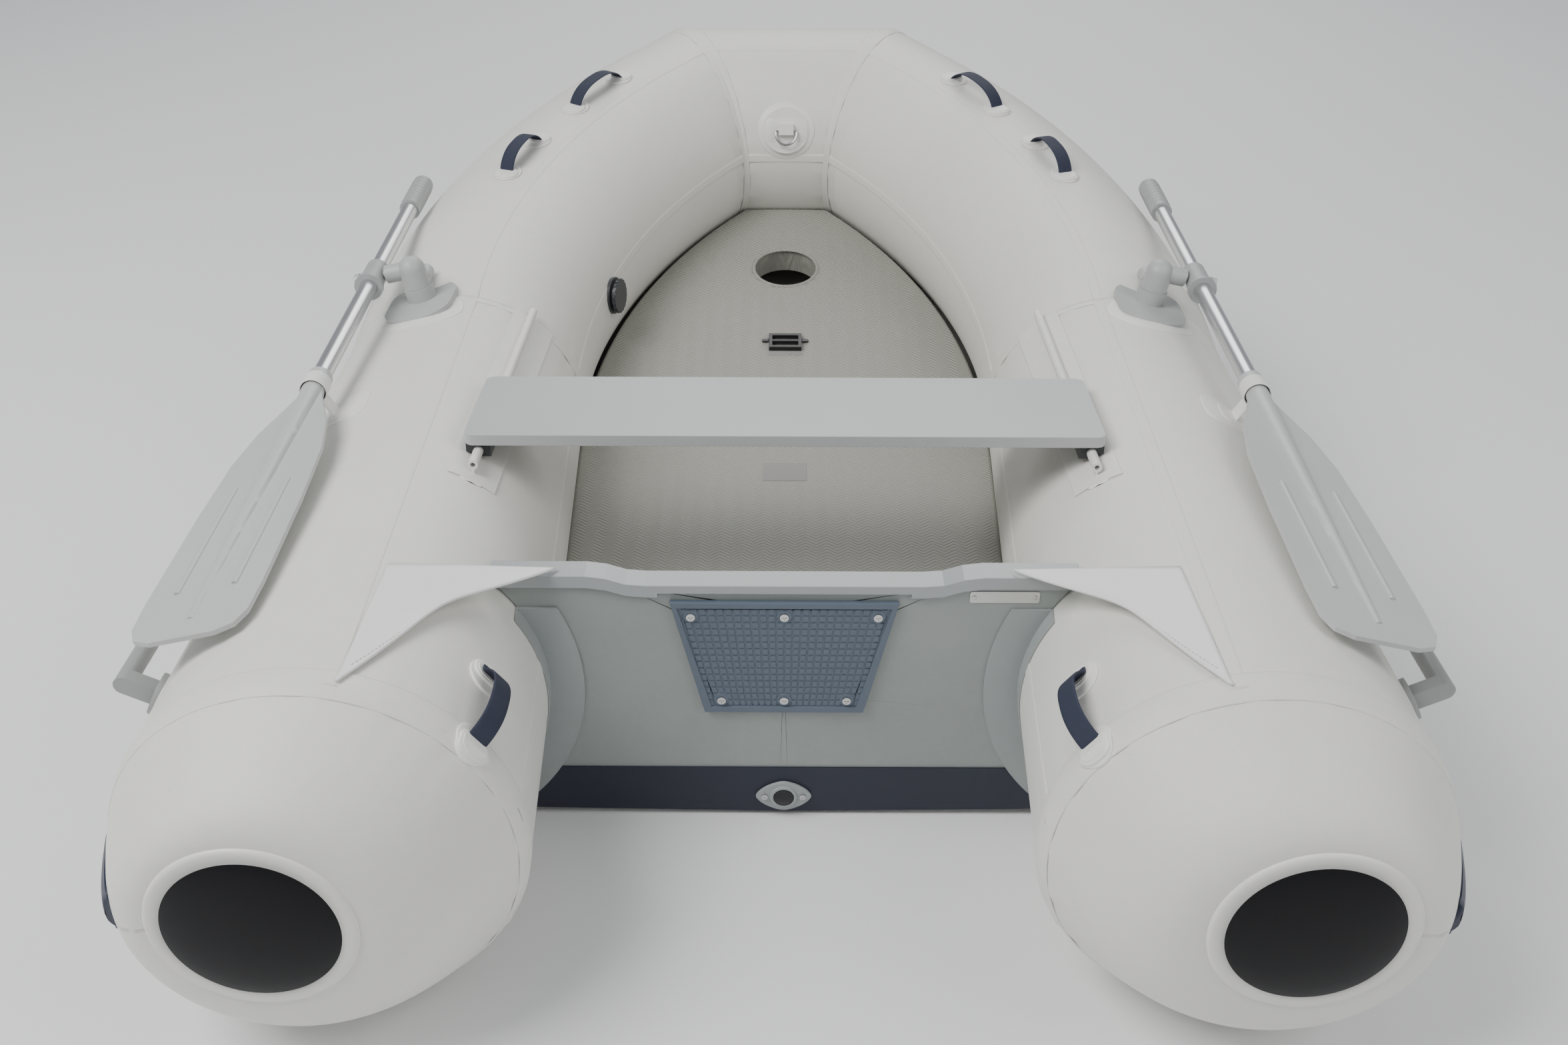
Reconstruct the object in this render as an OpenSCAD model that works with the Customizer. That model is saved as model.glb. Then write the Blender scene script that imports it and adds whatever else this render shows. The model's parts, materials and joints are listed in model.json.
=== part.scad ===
// Inflatable dinghy with an air floor, a plywood transom, a sliding seat and two stowed oars.
// Millimetres. X to starboard, Y towards the bow, Z up. The origin is on the ground, under
// the middle of the hull. Everything on a side is drawn to starboard and mirrored to port.

/* [Hull] */
// Overall length, from the stern caps to the rub strake at the bow
loa = 2440; // [2300:10:2800]
// Diameter of the inflated tube at the bow
bow_d = 412; // [380:4:440]
// Diameter of the side tube at the cone seam
stern_d = 472; // [440:4:500]
// Distance of each side tube's axis from the centreline, where the bow begins
tube_x = 557; // [530:1:640]
// Distance of the side tube's axis from the centreline, at the cone seam
seam_x = 526; // [510:1:610]
// Plan radius of the bow quarters, at the tube's axis
bend_r = 1280; // [1100:20:1400]
// Direction of the bow quarter where it meets the bow tube, from straight ahead
bow_turn = 40; // [36:1:44]
// Half length of the bow tube, at its axis
bow_half = 180; // [160:5:200]
// Angle at which the bow rises
rise = 11; // [8:1:14]
// Thickness that stands in for the air-tight fabric
wall = 3; // [2:0.5:4]

/* [Stern] */
// Length of the cones, from the seam to the cap
cone_l = 152; // [130:2:200]
// Radius of the cone where its cap sits
cap_r = 107; // [95:1:125]
// Height of the cap's centre
cap_z = 266; // [240:2:290]
// Distance of the cap's centre from the centreline
cap_x = 558; // [530:1:640]
// Bulge of the end cap
cap_bulge = 18; // [12:1:24]
// Distance of the transom's aft face ahead of the cone seam
transom_in = 315; // [280:5:360]
// Thickness of the transom board
board_t = 25; // [18:1:32]
// Height of the transom's top at the sides
transom_h = 398; // [380:2:410]
// Depth of the dip in the transom's top
dip = 14; // [6:1:20]
// Half width of the dip
dip_x = 215; // [190:5:230]
// Lowest point of the transom board
board_z = 13; // [12.5:0.5:20]
// Thickness of the fittings and pads on the transom
pad_t = 8; // [5:1:12]
// Height of the middle of the drain
drain_z = 36; // [34:1:44]

/* [Floor] */
// Height of the bottom fabric
sheet_z = 8; // [6:1:10]
// Diameter of the inflatable keel
keel_d = 56; // [40:2:57]
// Thickness of the air floor
floor_t = 50; // [40:2:60]
// Height of the air floor's underside
floor_z = 70; // [69:1:80]
// Diameter of the hole over the keel valve
hole_d = 130; // [110:2:150]
// Distance of that hole ahead of the start of the bow
hole_y = 530; // [480:5:560]

/* [Seat] */
// Length of the seat board, across the boat
seat_l = 884; // [860:4:920]
// Width of the seat board
seat_w = 208; // [190:2:220]
// Thickness of the seat board
seat_t = 16; // [14:1:20]
// Distance of the rail beads from the centreline
rail_x = 424; // [416:1:430]
// Diameter of the rail's bead
bead_d = 14; // [12:1:16]
// Height of the bead's centre above the tube
bead_up = 15; // [14:1:20]
// Length of the seat rails
rail_l = 590; // [560:10:620]
// Distance of the rails' aft ends from the start of the bow
rail_aft = 600; // [590:5:640]

/* [Oars] */
// Length of the shaft from the pin to the blade's neck
neck_y = 395; // [380:5:410]
// Distance from the pin to the end of the grip
grip_y = 435; // [400:1:440]
// Diameter of the shaft
shaft_d = 28; // [24:1:32]
// Distance from the pin to the blade's tip
blade_y = 1000; // [960:5:1020]
// Width of the blade
blade_w = 146; // [130:2:156]
// Height of the rowlock pin above the tube
pin_h = 56; // [52:1:66]
// Diameter of the rowlock pin
pin_d = 12; // [10:1:14]
// Distance of the oar from the rowlock's axis
oar_off = 66; // [62:1:76]
// Angle of the rowlock from the top of the tube, outboard
lock_a = 13; // [11:1:16]
// Distance of the rowlock aft of the start of the bow
lock_y = 29; // [20:1:60]

/* [Fittings] */
// Width of the strap handles
strap_w = 27; // [22:1:32]
// Thickness of the strap handles
strap_t = 2.5; // [2:0.5:4]
// Height of the strap handles' arches
arch_h = 34; // [28:1:44]
// Diameter of the lifelines
rope_d = 10; // [8:1:12]
// Height of the rub strake's band
strake_w = 60; // [40:2:70]
// Thickness of the rub strake
strake_t = 8; // [5:1:10]

/* [Hidden] */

ivory = [0.90, 0.89, 0.85];
khaki = [0.68, 0.67, 0.60];
pale_grey = [0.78, 0.78, 0.76];
dark_grey = [0.25, 0.27, 0.29];
slate = [0.45, 0.49, 0.53];
navy = [0.08, 0.10, 0.17];
black = [0.07, 0.07, 0.08];
steel = [0.75, 0.75, 0.76];

gap = 0.3;          // clearance between soft neighbours
run_gap = 0.05;     // radial clearance of a turning pin
big = 4000;
tube_fn = 240;
r_bow = bow_d / 2;
r_stern = stern_d / 2;

// The cap's dome is part of a sphere.
dome_r = (cap_r * cap_r + cap_bulge * cap_bulge) / (2 * cap_bulge);
y_cap = -loa / 2 + cap_bulge;
y_seam = y_cap + cone_l;
y_transom = y_seam + transom_in;

// The bow lies in a plane that rises from the start of the bow.
stub = r_bow * tan(rise / 2) + 2;
arc_x = tube_x - bend_r * (1 - cos(bow_turn));
straight_l = (arc_x - bow_half) / sin(bow_turn);
bow_run = stub + bend_r * sin(bow_turn) + straight_l * cos(bow_turn);
y_bow_tube = loa / 2 - r_bow - strake_t;
y_start = y_bow_tube - bow_run * cos(rise);
side_l = y_start - y_seam;

// Radius and axis of the side tube at any station
function r_at(y) = r_bow + (r_stern - r_bow) * (y_start - y) / side_l;
function x_at(y) = tube_x + (seam_x - tube_x) * (y_start - y) / side_l;
function top_z(x, y) = r_at(y) + sqrt(pow(r_at(y), 2) - pow(x_at(y) - x, 2));

// The rails are straight and lie on the side tubes.
rail_y0 = y_start - rail_aft;
rail_y1 = rail_y0 + rail_l;
rail_z0 = top_z(rail_x, rail_y0) + bead_up;
rail_z1 = top_z(rail_x, rail_y1) + bead_up;
rail_pitch = atan2(rail_z1 - rail_z0, rail_l);
seat_in = 38;       // the rails' ends stand this far behind the seat
chan_w = 34;
chan_wall = 4;
bead_run = 0.5;

// Rowlock and oar
lock_s = y_start - lock_y;
lean = atan2(r_stern - r_bow, side_l);
grip_d = 37;
grip_l = 135;
collar_l = 64;
collar_d = 38;
stem_d = 16;
plate_t = 4;
swivel_z = 26;

// Lifeline: station ahead of the start of the bow, angle outboard from the tube's top, and
// distance off the tube, chosen by hand.
rope_route = [
    [118, 50, 13], [100, 52, 22], [60, 56, 24], [0, 61, 22], [-80, 66, 17], [-170, 70, 12],
    [-260, 72, 9], [-350, 72, 9], [-430, 70, 12], [-490, 67, 17], [-530, 64, 19], [-550, 62, 13]
];

// ---- helpers ----

module pair() {
    children();
    mirror([1, 0, 0]) children();
}

// Frame of the rising bow plane
module in_bow() {
    translate([0, y_start, r_bow]) rotate([rise, 0, 0]) children();
}

// Frame on the side tube: Z is the outward normal, Y runs forward, a turns it inboard.
module on_side(y, a) {
    translate([x_at(y), y, r_at(y)]) rotate([0, -a, 0])
        translate([0, 0, r_at(y)]) rotate([-lean, 0, 0]) children();
}

// Frame on the bow quarter, t degrees round its bend
module on_quarter(t, a) {
    in_bow() translate([tube_x - bend_r, stub, 0]) rotate([0, 0, t])
        translate([bend_r, 0, 0]) rotate([0, -a, 0]) translate([0, 0, r_bow]) children();
}

// Frame on the bow tube: X points ahead, a turns it towards the cockpit.
module on_bow(a) {
    in_bow() translate([0, bow_run, 0]) rotate([0, 0, 90]) rotate([0, -a, 0])
        translate([0, 0, r_bow]) children();
}

// Everything behind a plane through a point; the plane's normal is Y, turned by yaw and pitch
module behind(p, pitch, yaw) {
    translate(p) rotate([pitch, 0, 0]) rotate([0, 0, yaw])
        translate([-big / 2, -big, -big / 2]) cube([big, big, big]);
}

// Tapered side tube, grown outwards by g and run past both its ends
module side_blank(g) {
    over = 40;
    slope = (r_stern - r_bow) / side_l;
    turn = atan2(tube_x - seam_x, side_l);
    run = norm([tube_x - seam_x, side_l, r_stern - r_bow]);
    translate([seam_x, y_seam, r_stern]) rotate([-atan(slope), 0, 0]) rotate([0, 0, -turn])
        translate([0, -over, 0]) rotate([-90, 0, 0]) cylinder(r1 = r_stern + g + slope * over,
            r2 = r_bow + g - slope * over, h = run + 2 * over, $fn = tube_fn);
}

module side_solid(g) {
    intersection() {
        side_blank(g);
        behind([tube_x, y_start, r_bow], rise / 2, 0);
        translate([-big / 2, y_seam + 0.1, -big / 2]) cube([big, big, big]);
    }
}

// Starboard bow quarter without its mitres: short straight, bend, long straight
module quarter_blank(g) {
    in_bow() {
        translate([tube_x, -3 * stub, 0]) rotate([-90, 0, 0])
            cylinder(r = r_bow + g, h = 4 * stub, $fn = tube_fn);
        translate([tube_x - bend_r, stub, 0])
            rotate_extrude(angle = bow_turn, $fn = 360)
            translate([bend_r, 0]) circle(r = r_bow + g, $fn = tube_fn);
        translate([arc_x, stub + bend_r * sin(bow_turn), 0]) rotate([0, 0, bow_turn])
            rotate([-90, 0, 0]) cylinder(r = r_bow + g, h = straight_l + r_bow, $fn = tube_fn);
    }
}

module quarter_trim() {
    behind([tube_x, y_start, r_bow], rise / 2, 0);
    in_bow() translate([bow_half, bow_run, 0]) rotate([0, 0, 45 + bow_turn / 2])
        translate([-big / 2, 0, -big / 2]) cube([big, big, big]);
}

module quarter_solid(g) {
    difference() {
        quarter_blank(g);
        quarter_trim();
    }
}

// What lies past the mitres at the bow tube's ends
module bow_ends() {
    pair() in_bow() translate([bow_half - 0.1, bow_run, 0]) rotate([0, 0, 45 + bow_turn / 2])
        translate([-big / 2, -big, -big / 2]) cube([big, big, big]);
}

module bow_solid(g) {
    difference() {
        in_bow() translate([-big / 4, bow_run, 0]) rotate([0, 90, 0])
            cylinder(r = r_bow + g, h = big / 2, $fn = tube_fn);
        bow_ends();
    }
}

// The whole ring of tubes, for cutting the floor to fit
module tube_ring(g) {
    pair() {
        side_solid(g);
        quarter_solid(g);
    }
    bow_solid(g);
}

// A thin skin on the side tube, between two offsets
module side_skin(g0, g1) {
    difference() {
        side_solid(g1);
        side_blank(g0);
    }
}

function round_rect(w, l, r) = [
    for (c = [[1, 1, 0], [-1, 1, 90], [-1, -1, 180], [1, -1, 270]])
        for (a = [0:15:90])
            [c[0] * (w / 2 - r) + r * cos(a + c[2]), c[1] * (l / 2 - r) + r * sin(a + c[2])]
];

// ---- hull ----

module side_tube() {
    color(ivory) difference() {
        side_solid(0);
        side_blank(-wall);
    }
}

module tube_starboard() side_tube();

module tube_port() mirror([1, 0, 0]) side_tube();

// Cone: its seam end matches the side tube, and its belly lifts towards the cap.
cone_steps = 8;
function cone_ring(k, g) =
    let (u = k / cone_steps, w = 1 - pow(1 - u, 0.75), s = sin(90 * u))
    [seam_x + (cap_x - seam_x) * u, y_seam - cone_l * s,
     r_stern + (cap_z - r_stern) * w, r_stern - g - (r_stern - cap_r) * w];
cone_sides = 40;

module cone_loft(g, over) {
    rings = [for (k = [0:cone_steps]) cone_ring(k, g)];
    all = concat([[seam_x, y_seam + over, r_stern, r_stern - g]], rings,
        [[cap_x, y_cap - over, cap_z, cap_r - g]]);
    use = over > 0 ? all : rings;
    n = len(use);
    pts = [for (r = use) for (i = [0:cone_sides - 1])
        [r[0] + r[3] * cos(360 * i / cone_sides), r[1], r[2] + r[3] * sin(360 * i / cone_sides)]];
    walls = [for (k = [0:n - 2]) for (i = [0:cone_sides - 1])
        [k * cone_sides + i, (k + 1) * cone_sides + i,
         (k + 1) * cone_sides + (i + 1) % cone_sides, k * cone_sides + (i + 1) % cone_sides]];
    first = [for (i = [0:cone_sides - 1]) i];
    last = [for (i = [cone_sides - 1:-1:0]) (n - 1) * cone_sides + i];
    polyhedron(points = pts, faces = concat(walls, [first, last]), convexity = 4);
}

module cone() {
    color(ivory) difference() {
        cone_loft(0, 0);
        cone_loft(wall, 1);
    }
}

module cone_starboard() cone();

module cone_port() mirror([1, 0, 0]) cone();

// Cap: a dome with a flange that sits against the cone's end, and a plug inside it
plug_l = 12;

module end_cap() {
    color(black) translate([cap_x, y_cap - gap, cap_z]) rotate([90, 0, 0]) union() {
        intersection() {
            translate([0, 0, cap_bulge - gap - dome_r]) sphere(r = dome_r, $fn = 180);
            cylinder(r = cap_r + 3, h = cap_bulge, $fn = 96);
        }
        translate([0, 0, -plug_l]) cylinder(r = cap_r - wall - 2, h = plug_l + 1, $fn = 96);
    }
}

module end_cap_starboard() end_cap();

module end_cap_port() mirror([1, 0, 0]) end_cap();

// The quarter's shell: bend and straights made as rings, with a seam tape over each joint
module quarter() {
    color(ivory) difference() {
        in_bow() {
            translate([tube_x, -3 * stub, 0]) rotate([-90, 0, 0]) linear_extrude(4 * stub - 0.2)
                ring_profile(0);
            translate([tube_x, stub, 0]) rotate([-90, 0, 0]) seam_tape();
            translate([tube_x - bend_r, stub, 0]) rotate_extrude(angle = bow_turn, $fn = 144)
                translate([bend_r, 0]) ring_profile(0);
            translate([arc_x, stub + bend_r * sin(bow_turn), 0]) rotate([0, 0, bow_turn])
                rotate([-90, 0, 0]) {
                    seam_tape();
                    translate([0, 0, 0.2]) linear_extrude(straight_l + r_bow) ring_profile(0);
                }
        }
        quarter_trim();
    }
}

tape_t = 0.15;

module seam_tape() {
    translate([0, 0, -9]) linear_extrude(18) ring_profile(tape_t);
}

module ring_profile(t) {
    difference() {
        circle(r = r_bow + t, $fn = 120);
        circle(r = r_bow - wall - t, $fn = 120);
    }
}

module quarter_starboard() quarter();

module quarter_port() mirror([1, 0, 0]) quarter();

module bow_tube() {
    color(ivory) difference() {
        bow_solid(0);
        bow_solid(-wall);
    }
}

// One fabric bulkhead in each side tube parts the air chambers.
module bulkheads() {
    bulk_y = y_start - 120;
    color(ivory) pair() intersection() {
        side_blank(-wall - 0.5);
        translate([0, bulk_y, 0]) cube([big, 2, big], center = true);
    }
}

// A rub strake stands on the outer side, at the tube's widest line.
module strake_profile() {
    intersection() {
        difference() {
            circle(r = r_bow + strake_t, $fn = tube_fn);
            circle(r = r_bow + 2 * gap, $fn = tube_fn);
        }
        translate([0, -strake_w / 2]) square([r_bow * 2, strake_w]);
    }
}

// Sector of a tapered ring that follows the side tube's widest line
module side_band(g0, g1) {
    over = 30;
    slope = (r_stern - r_bow) / side_l;
    turn = atan2(tube_x - seam_x, side_l);
    run = norm([tube_x - seam_x, side_l, r_stern - r_bow]);
    half = asin(strake_w / (r_stern + r_bow));
    intersection() {
        translate([seam_x, y_seam, r_stern]) rotate([-atan(slope), 0, 0]) rotate([0, 0, -turn])
            rotate([-90, 0, 0]) translate([0, 0, -over]) rotate([0, 0, -half])
            rotate_extrude(angle = 2 * half, $fn = 720) polygon([
                [r_stern + g0 + slope * over, 0], [r_stern + g1 + slope * over, 0],
                [r_bow + g1 - slope * over, run + 2 * over],
                [r_bow + g0 - slope * over, run + 2 * over]]);
        behind([tube_x, y_start, r_bow], rise / 2, 0);
        translate([-big / 2, y_seam + 0.1, -big / 2]) cube([big, big, big]);
    }
}

module rub_strakes() {
    color(navy) pair() {
        side_band(2 * gap, strake_t);
        difference() {
            in_bow() {
                translate([tube_x, -3 * stub, 0]) rotate([-90, 0, 0])
                    linear_extrude(4 * stub - gap) strake_profile();
                translate([tube_x - bend_r, stub, 0]) rotate_extrude(angle = bow_turn, $fn = 144)
                    translate([bend_r, 0]) strake_profile();
                translate([arc_x, stub + bend_r * sin(bow_turn), 0]) rotate([0, 0, bow_turn])
                    translate([0, gap, 0]) rotate([-90, 0, 0])
                    linear_extrude(straight_l + r_bow) strake_profile();
            }
            quarter_trim();
        }
    }
}

module bow_strake() {
    color(navy) difference() {
        in_bow() translate([0, bow_run, 0]) rotate([0, 90, 0]) rotate([0, 0, 90])
            translate([0, 0, -big / 4]) linear_extrude(big / 2) strake_profile();
        bow_ends();
    }
}

// ---- floor ----

edge_in = 20;

// Plan outline of the rising bow's floor, at a distance e inside the tubes' axes
function bow_outline(e) = concat(
    [[tube_x - e, -60], [tube_x - e, stub]],
    [for (a = [2.5:2.5:bow_turn]) [tube_x - bend_r + (bend_r - e) * cos(a),
        stub + (bend_r - e) * sin(a)]],
    [[bow_half - e * tan(45 - bow_turn / 2), bow_run - e],
     [e * tan(45 - bow_turn / 2) - bow_half, bow_run - e]],
    [for (a = [bow_turn:-2.5:2]) [bend_r - tube_x - (bend_r - e) * cos(a),
        stub + (bend_r - e) * sin(a)]],
    [[e - tube_x, stub], [e - tube_x, -60]]);

// A sheet between two heights, level aft and rising with the bow, fitted between the tubes
module floor_slab(z0, z1, y0) {
    w0 = x_at(y0) - edge_in;
    w1 = x_at(y_start + 60) - edge_in;
    difference() {
        intersection() {
            translate([0, 0, z0]) linear_extrude(z1 - z0)
                polygon([[-w0, y0], [w0, y0], [w1, y_start + 60], [-w1, y_start + 60]]);
            behind([0, y_start + 1, r_bow], rise / 2, 0);
        }
        pair() side_blank(gap + 0.6);
    }
    difference() {
        in_bow() translate([0, 0, z0 - r_bow]) linear_extrude(z1 - z0) polygon(bow_outline(edge_in));
        behind([0, y_start, r_bow], rise / 2, 0);
        pair() quarter_floor_cut();
        in_bow() translate([-big / 4, bow_run, 0]) rotate([0, 90, 0])
            cylinder(r = r_bow + gap, h = big / 2, $fn = tube_fn);
    }
}

// The bend alone, in place of the two straights, with a longer sweep
module quarter_floor_cut() {
    in_bow() {
        translate([tube_x, -3 * stub, 0]) rotate([-90, 0, 0])
            cylinder(r = r_bow + gap + 0.5, h = 4 * stub, $fn = tube_fn);
        translate([tube_x - bend_r, stub, 0])
            rotate_extrude(angle = bow_turn, $fn = 360)
            translate([bend_r, 0]) circle(r = r_bow + gap, $fn = tube_fn);
        translate([arc_x, stub + bend_r * sin(bow_turn), 0]) rotate([0, 0, bow_turn])
            rotate([-90, 0, 0]) translate([0, 0, -1])
            cylinder(r = r_bow + gap + 0.5, h = straight_l + r_bow, $fn = tube_fn);
    }
}

module bottom_sheet() {
    color(khaki) floor_slab(sheet_z, sheet_z + wall, y_transom + 0.5);
}

module keel_tube() {
    r = keel_d / 2;
    z = sheet_z + wall + gap + r;
    y0 = y_transom + board_t + 60;
    color(ivory) translate([0, y0, z]) {
        sphere(r = r, $fn = 48);
        rotate([-90, 0, 0]) cylinder(r = r, h = y_start - 120 - y0, $fn = 48);
        translate([0, y_start - 120 - y0, 0]) sphere(r = r, $fn = 48);
    }
}

// Half chord of a tube of radius r at height z
function chord(r, z) = sqrt(r * r - pow(r - z, 2));

module air_floor() {
    z1 = floor_z + floor_t;
    y0 = y_transom + board_t + 31;
    e = chord(r_bow, z1) + gap;
    w0 = x_at(y0) - chord(r_at(y0), z1) - gap;
    w1 = tube_x - e;
    color(khaki) difference() {
        union() {
            intersection() {
                translate([0, 0, floor_z]) linear_extrude(floor_t)
                    polygon([[-w0, y0], [w0, y0], [w1, y_start + 60], [-w1, y_start + 60]]);
                behind([0, y_start + 1, r_bow], rise / 2, 0);
            }
            difference() {
                in_bow() translate([0, 0, floor_z - r_bow]) linear_extrude(floor_t)
                    polygon(bow_outline(e + 0.1));
                behind([0, y_start, r_bow], rise / 2, 0);
            }
        }
        at_floor_hole(0) translate([0, 0, -floor_t - 20]) cylinder(d = hole_d, h = floor_t + 40,
            $fn = 96);
    }
}

// Frame on the top of the air floor in the bow
module at_floor_hole(dy) {
    in_bow() translate([0, hole_y + dy, floor_z + floor_t - r_bow]) children();
}

valve_r = 28;

module keel_valve() {
    color(ivory) at_floor_hole(-20) translate([0, 0, -floor_t - valve_drop]) {
        difference() {
            union() {
                cylinder(r = valve_r + 12, h = 3, $fn = 64);
                cylinder(r = valve_r, h = 12, $fn = 64);
            }
            translate([0, 0, 4]) cylinder(r = valve_r - 8, h = 20, $fn = 64);
        }
    }
}
valve_drop = floor_z - sheet_z - wall - 1;

module keel_valve_cap() {
    color(pale_grey) at_floor_hole(-20) translate([0, 0, -floor_t - valve_drop + 12 + gap]) {
        cylinder(r = valve_r - 1, h = 6, $fn = 64);
        translate([0, 0, 4 - 12]) cylinder(r = valve_r - 8 - 2 * gap, h = 9, $fn = 64);
        for (a = [0:30:330])
            rotate([0, 0, a]) translate([valve_r - 3, -3, 1]) cube([4, 6, 5]);
        translate([-14, -3, 5]) cube([28, 6, 6]);
    }
}

// Inflation valve on the port quarter, low on the inner side
valve_t = 14;
valve_a = 84;

module at_valve() {
    mirror([1, 0, 0]) on_quarter(valve_t, valve_a) children();
}

valve_lift = 0.8;

module inflation_valve() {
    color(dark_grey) at_valve() difference() {
        union() {
            translate([0, 0, -4]) cylinder(r = 34, h = 4 + 3.5, $fn = 64);
            cylinder(r = 24, h = 8.5, $fn = 64);
        }
        translate([0, 0, 3.5]) cylinder(r = 17, h = 10, $fn = 64);
        translate([0, 0, -r_bow]) rotate([90, 0, 0])
            cylinder(r = r_bow + valve_lift, h = 200, center = true, $fn = 480);
    }
}

module inflation_valve_cap() {
    color(dark_grey) at_valve() translate([0, 0, 8.5 + gap]) {
        cylinder(r = 30, h = 6, $fn = 64);
        translate([0, 0, -4]) cylinder(r = 17 - 2 * gap, h = 5, $fn = 64);
        for (a = [0:20:340]) rotate([0, 0, a]) translate([28, -2.5, 0.5]) cube([4, 5, 5]);
    }
}

// Strap along the middle of the floor, with a ladder-lock buckle at its forward end
buckle_y = 275;
strap_end_y = -60;

module floor_buckle() {
    color(black) at_floor_hole(buckle_y - hole_y) translate([0, 0, gap + 1.5]) difference() {
        union() {
            translate([-31, -22, 0]) cube([62, 44, 9]);
            translate([-44, 4, 0]) cube([88, 8, 3]);
        }
        translate([-24, -15, -1]) cube([48, 12, 12]);
        translate([-24, 3, -1]) cube([48, 12, 12]);
    }
}

module floor_strap() {
    top = floor_z + floor_t;
    color([0.55, 0.54, 0.53]) {
        at_floor_hole(buckle_y - hole_y) translate([-34, -34, gap]) cube([68, 68, 1.2]);
        translate([-75 / 2, y_start + strap_end_y - 70, top + gap]) cube([75, 60, 1.2]);
    }
}

// ---- transom ----

// Outline of the board's top edge, from port to starboard, dropped by g
function crest(g) = [
    for (i = [0:24])
        let (x = -300 + 25 * i, u = min(1, max(0, (abs(x) - dip_x + 30) / 60)))
        [x, transom_h - g - dip * (1 + cos(180 * u)) / 2]
];

module board_outline(g, half_w) {
    polygon(concat([[-half_w, board_z], [-half_w, transom_h - g]], crest(g),
        [[half_w, transom_h - g], [half_w, board_z]]));
}

trim_t = 7;

module transom_board() {
    color(slate) difference() {
        translate([0, y_transom + board_t, 0]) rotate([90, 0, 0])
            linear_extrude(board_t) board_outline(trim_t, seam_x);
        tube_ring(gap);
        translate([0, y_transom - 1, drain_z]) rotate([-90, 0, 0])
            cylinder(r = 13, h = board_t + 2, $fn = 48);
        pad_holes(3);
    }
}

// A moulded cap sits over the board's top edge.
module transom_trim() {
    lip = 5;
    half = x_at(y_transom) - sqrt(pow(r_at(y_transom), 2) - pow(transom_h - r_at(y_transom), 2));
    color(pale_grey) difference() {
        translate([0, y_transom + board_t + lip, 0]) rotate([90, 0, 0])
            linear_extrude(board_t + 2 * lip) difference() {
                polygon(concat([[-half + 12, transom_h - 18]], [[-half + 12, transom_h]], crest(0),
                    [[half - 12, transom_h], [half - 12, transom_h - 18]],
                    [for (i = [24:-1:0]) crest(18)[i]]));
            }
        translate([0, y_transom + board_t + 0.1, 0]) rotate([90, 0, 0])
            linear_extrude(board_t + 0.2) board_outline(trim_t - 0.1, seam_x);
        tube_ring(gap);
        for (y = [y_transom - lip - 1, y_transom + board_t])
            translate([-160, y, 0]) cube([320, lip + 1, transom_h - dip - 12]);
    }
}

// Flanges welded to the tubes hold the board's ends.
module transom_holders() {
    reach = 46;
    skin = 3.5;
    color(pale_grey) pair() difference() {
        intersection() {
            side_skin(gap, reach);
            translate([0, y_transom - 30, 24]) cube([x_at(y_transom), board_t + 60,
                transom_h - 74]);
        }
        translate([0, y_transom - 0.2, -1]) cube([big / 4, board_t + 0.4, big / 4]);
        for (y = [y_transom - 31, y_transom + board_t + skin + 0.2])
            translate([0, y, 0]) difference() {
                cube([big / 4, 31 - skin - 0.2, big / 4]);
                translate([0, -y, 0]) side_blank(2);
            }
        translate([0, 0, 0]) cube([280, big, board_z + 20], center = false);
    }
}

module transom_foot_strip() {
    strip_top = 84;
    color(navy) difference() {
        translate([0, y_transom - gap, 0]) rotate([90, 0, 0]) linear_extrude(2)
            polygon([[-seam_x, sheet_z + 6], [0, sheet_z - 2], [seam_x, sheet_z + 6],
                [seam_x, strip_top], [-seam_x, strip_top]]);
        tube_ring(gap + 46.5);
        translate([0, y_transom - 3, drain_z]) rotate([-90, 0, 0])
            cylinder(r = 13, h = 4, $fn = 48);
    }
}

// Motor pad: a trapezoid with a raised rim, six screws
pad_top = 360;
pad_bot = 184;
pad_wt = 290;
pad_wb = 208;
rim = 9;

function pad_shape(inset) = [
    [-pad_wb / 2 + inset, pad_bot + inset], [pad_wb / 2 - inset, pad_bot + inset],
    [pad_wt / 2 - inset, pad_top - inset], [-pad_wt / 2 + inset, pad_top - inset]
];
pad_screws = [for (x = [-1, 0, 1]) for (z = [0, 1])
    [x * (z == 1 ? pad_wt / 2 - 26 : pad_wb / 2 - 22), z == 1 ? pad_top - 22 : pad_bot + 20]];

module pad_holes(r) {
    for (s = pad_screws) translate([s[0], y_transom - pad_t - 1, s[1]]) rotate([-90, 0, 0])
        cylinder(r = r, h = board_t + 2 * pad_t + 2, $fn = 24);
}

module motor_pad() {
    color([0.42, 0.46, 0.52]) difference() {
        translate([0, y_transom, 0]) rotate([90, 0, 0]) union() {
            linear_extrude(pad_t - 3) polygon(pad_shape(0));
            linear_extrude(pad_t) difference() {
                polygon(pad_shape(0));
                polygon(pad_shape(rim));
            }
            for (s = pad_screws) translate([s[0], s[1], 0]) cylinder(r = 10, h = pad_t - 1.5,
                $fn = 32);
        }
        pad_holes(3);
    }
}

module motor_pad_inner() {
    color([0.42, 0.46, 0.52]) difference() {
        translate([0, y_transom + board_t + pad_t - 3, 0]) rotate([90, 0, 0])
            linear_extrude(pad_t - 3) polygon(pad_shape(4));
        pad_holes(3);
    }
}

// Cross-headed screw along Z, its head on the plane z = 0
module screw(r, l) {
    translate([0, 0, -2.4]) difference() {
        cylinder(r = r, h = 2.4, $fn = 32);
        for (a = [0, 90]) rotate([0, 0, a]) translate([-0.6 * r, -0.6, -1]) cube([1.2 * r, 1.2, 2]);
    }
    translate([0, 0, -0.1]) cylinder(r = r / 2, h = l, $fn = 24);
}

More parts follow.
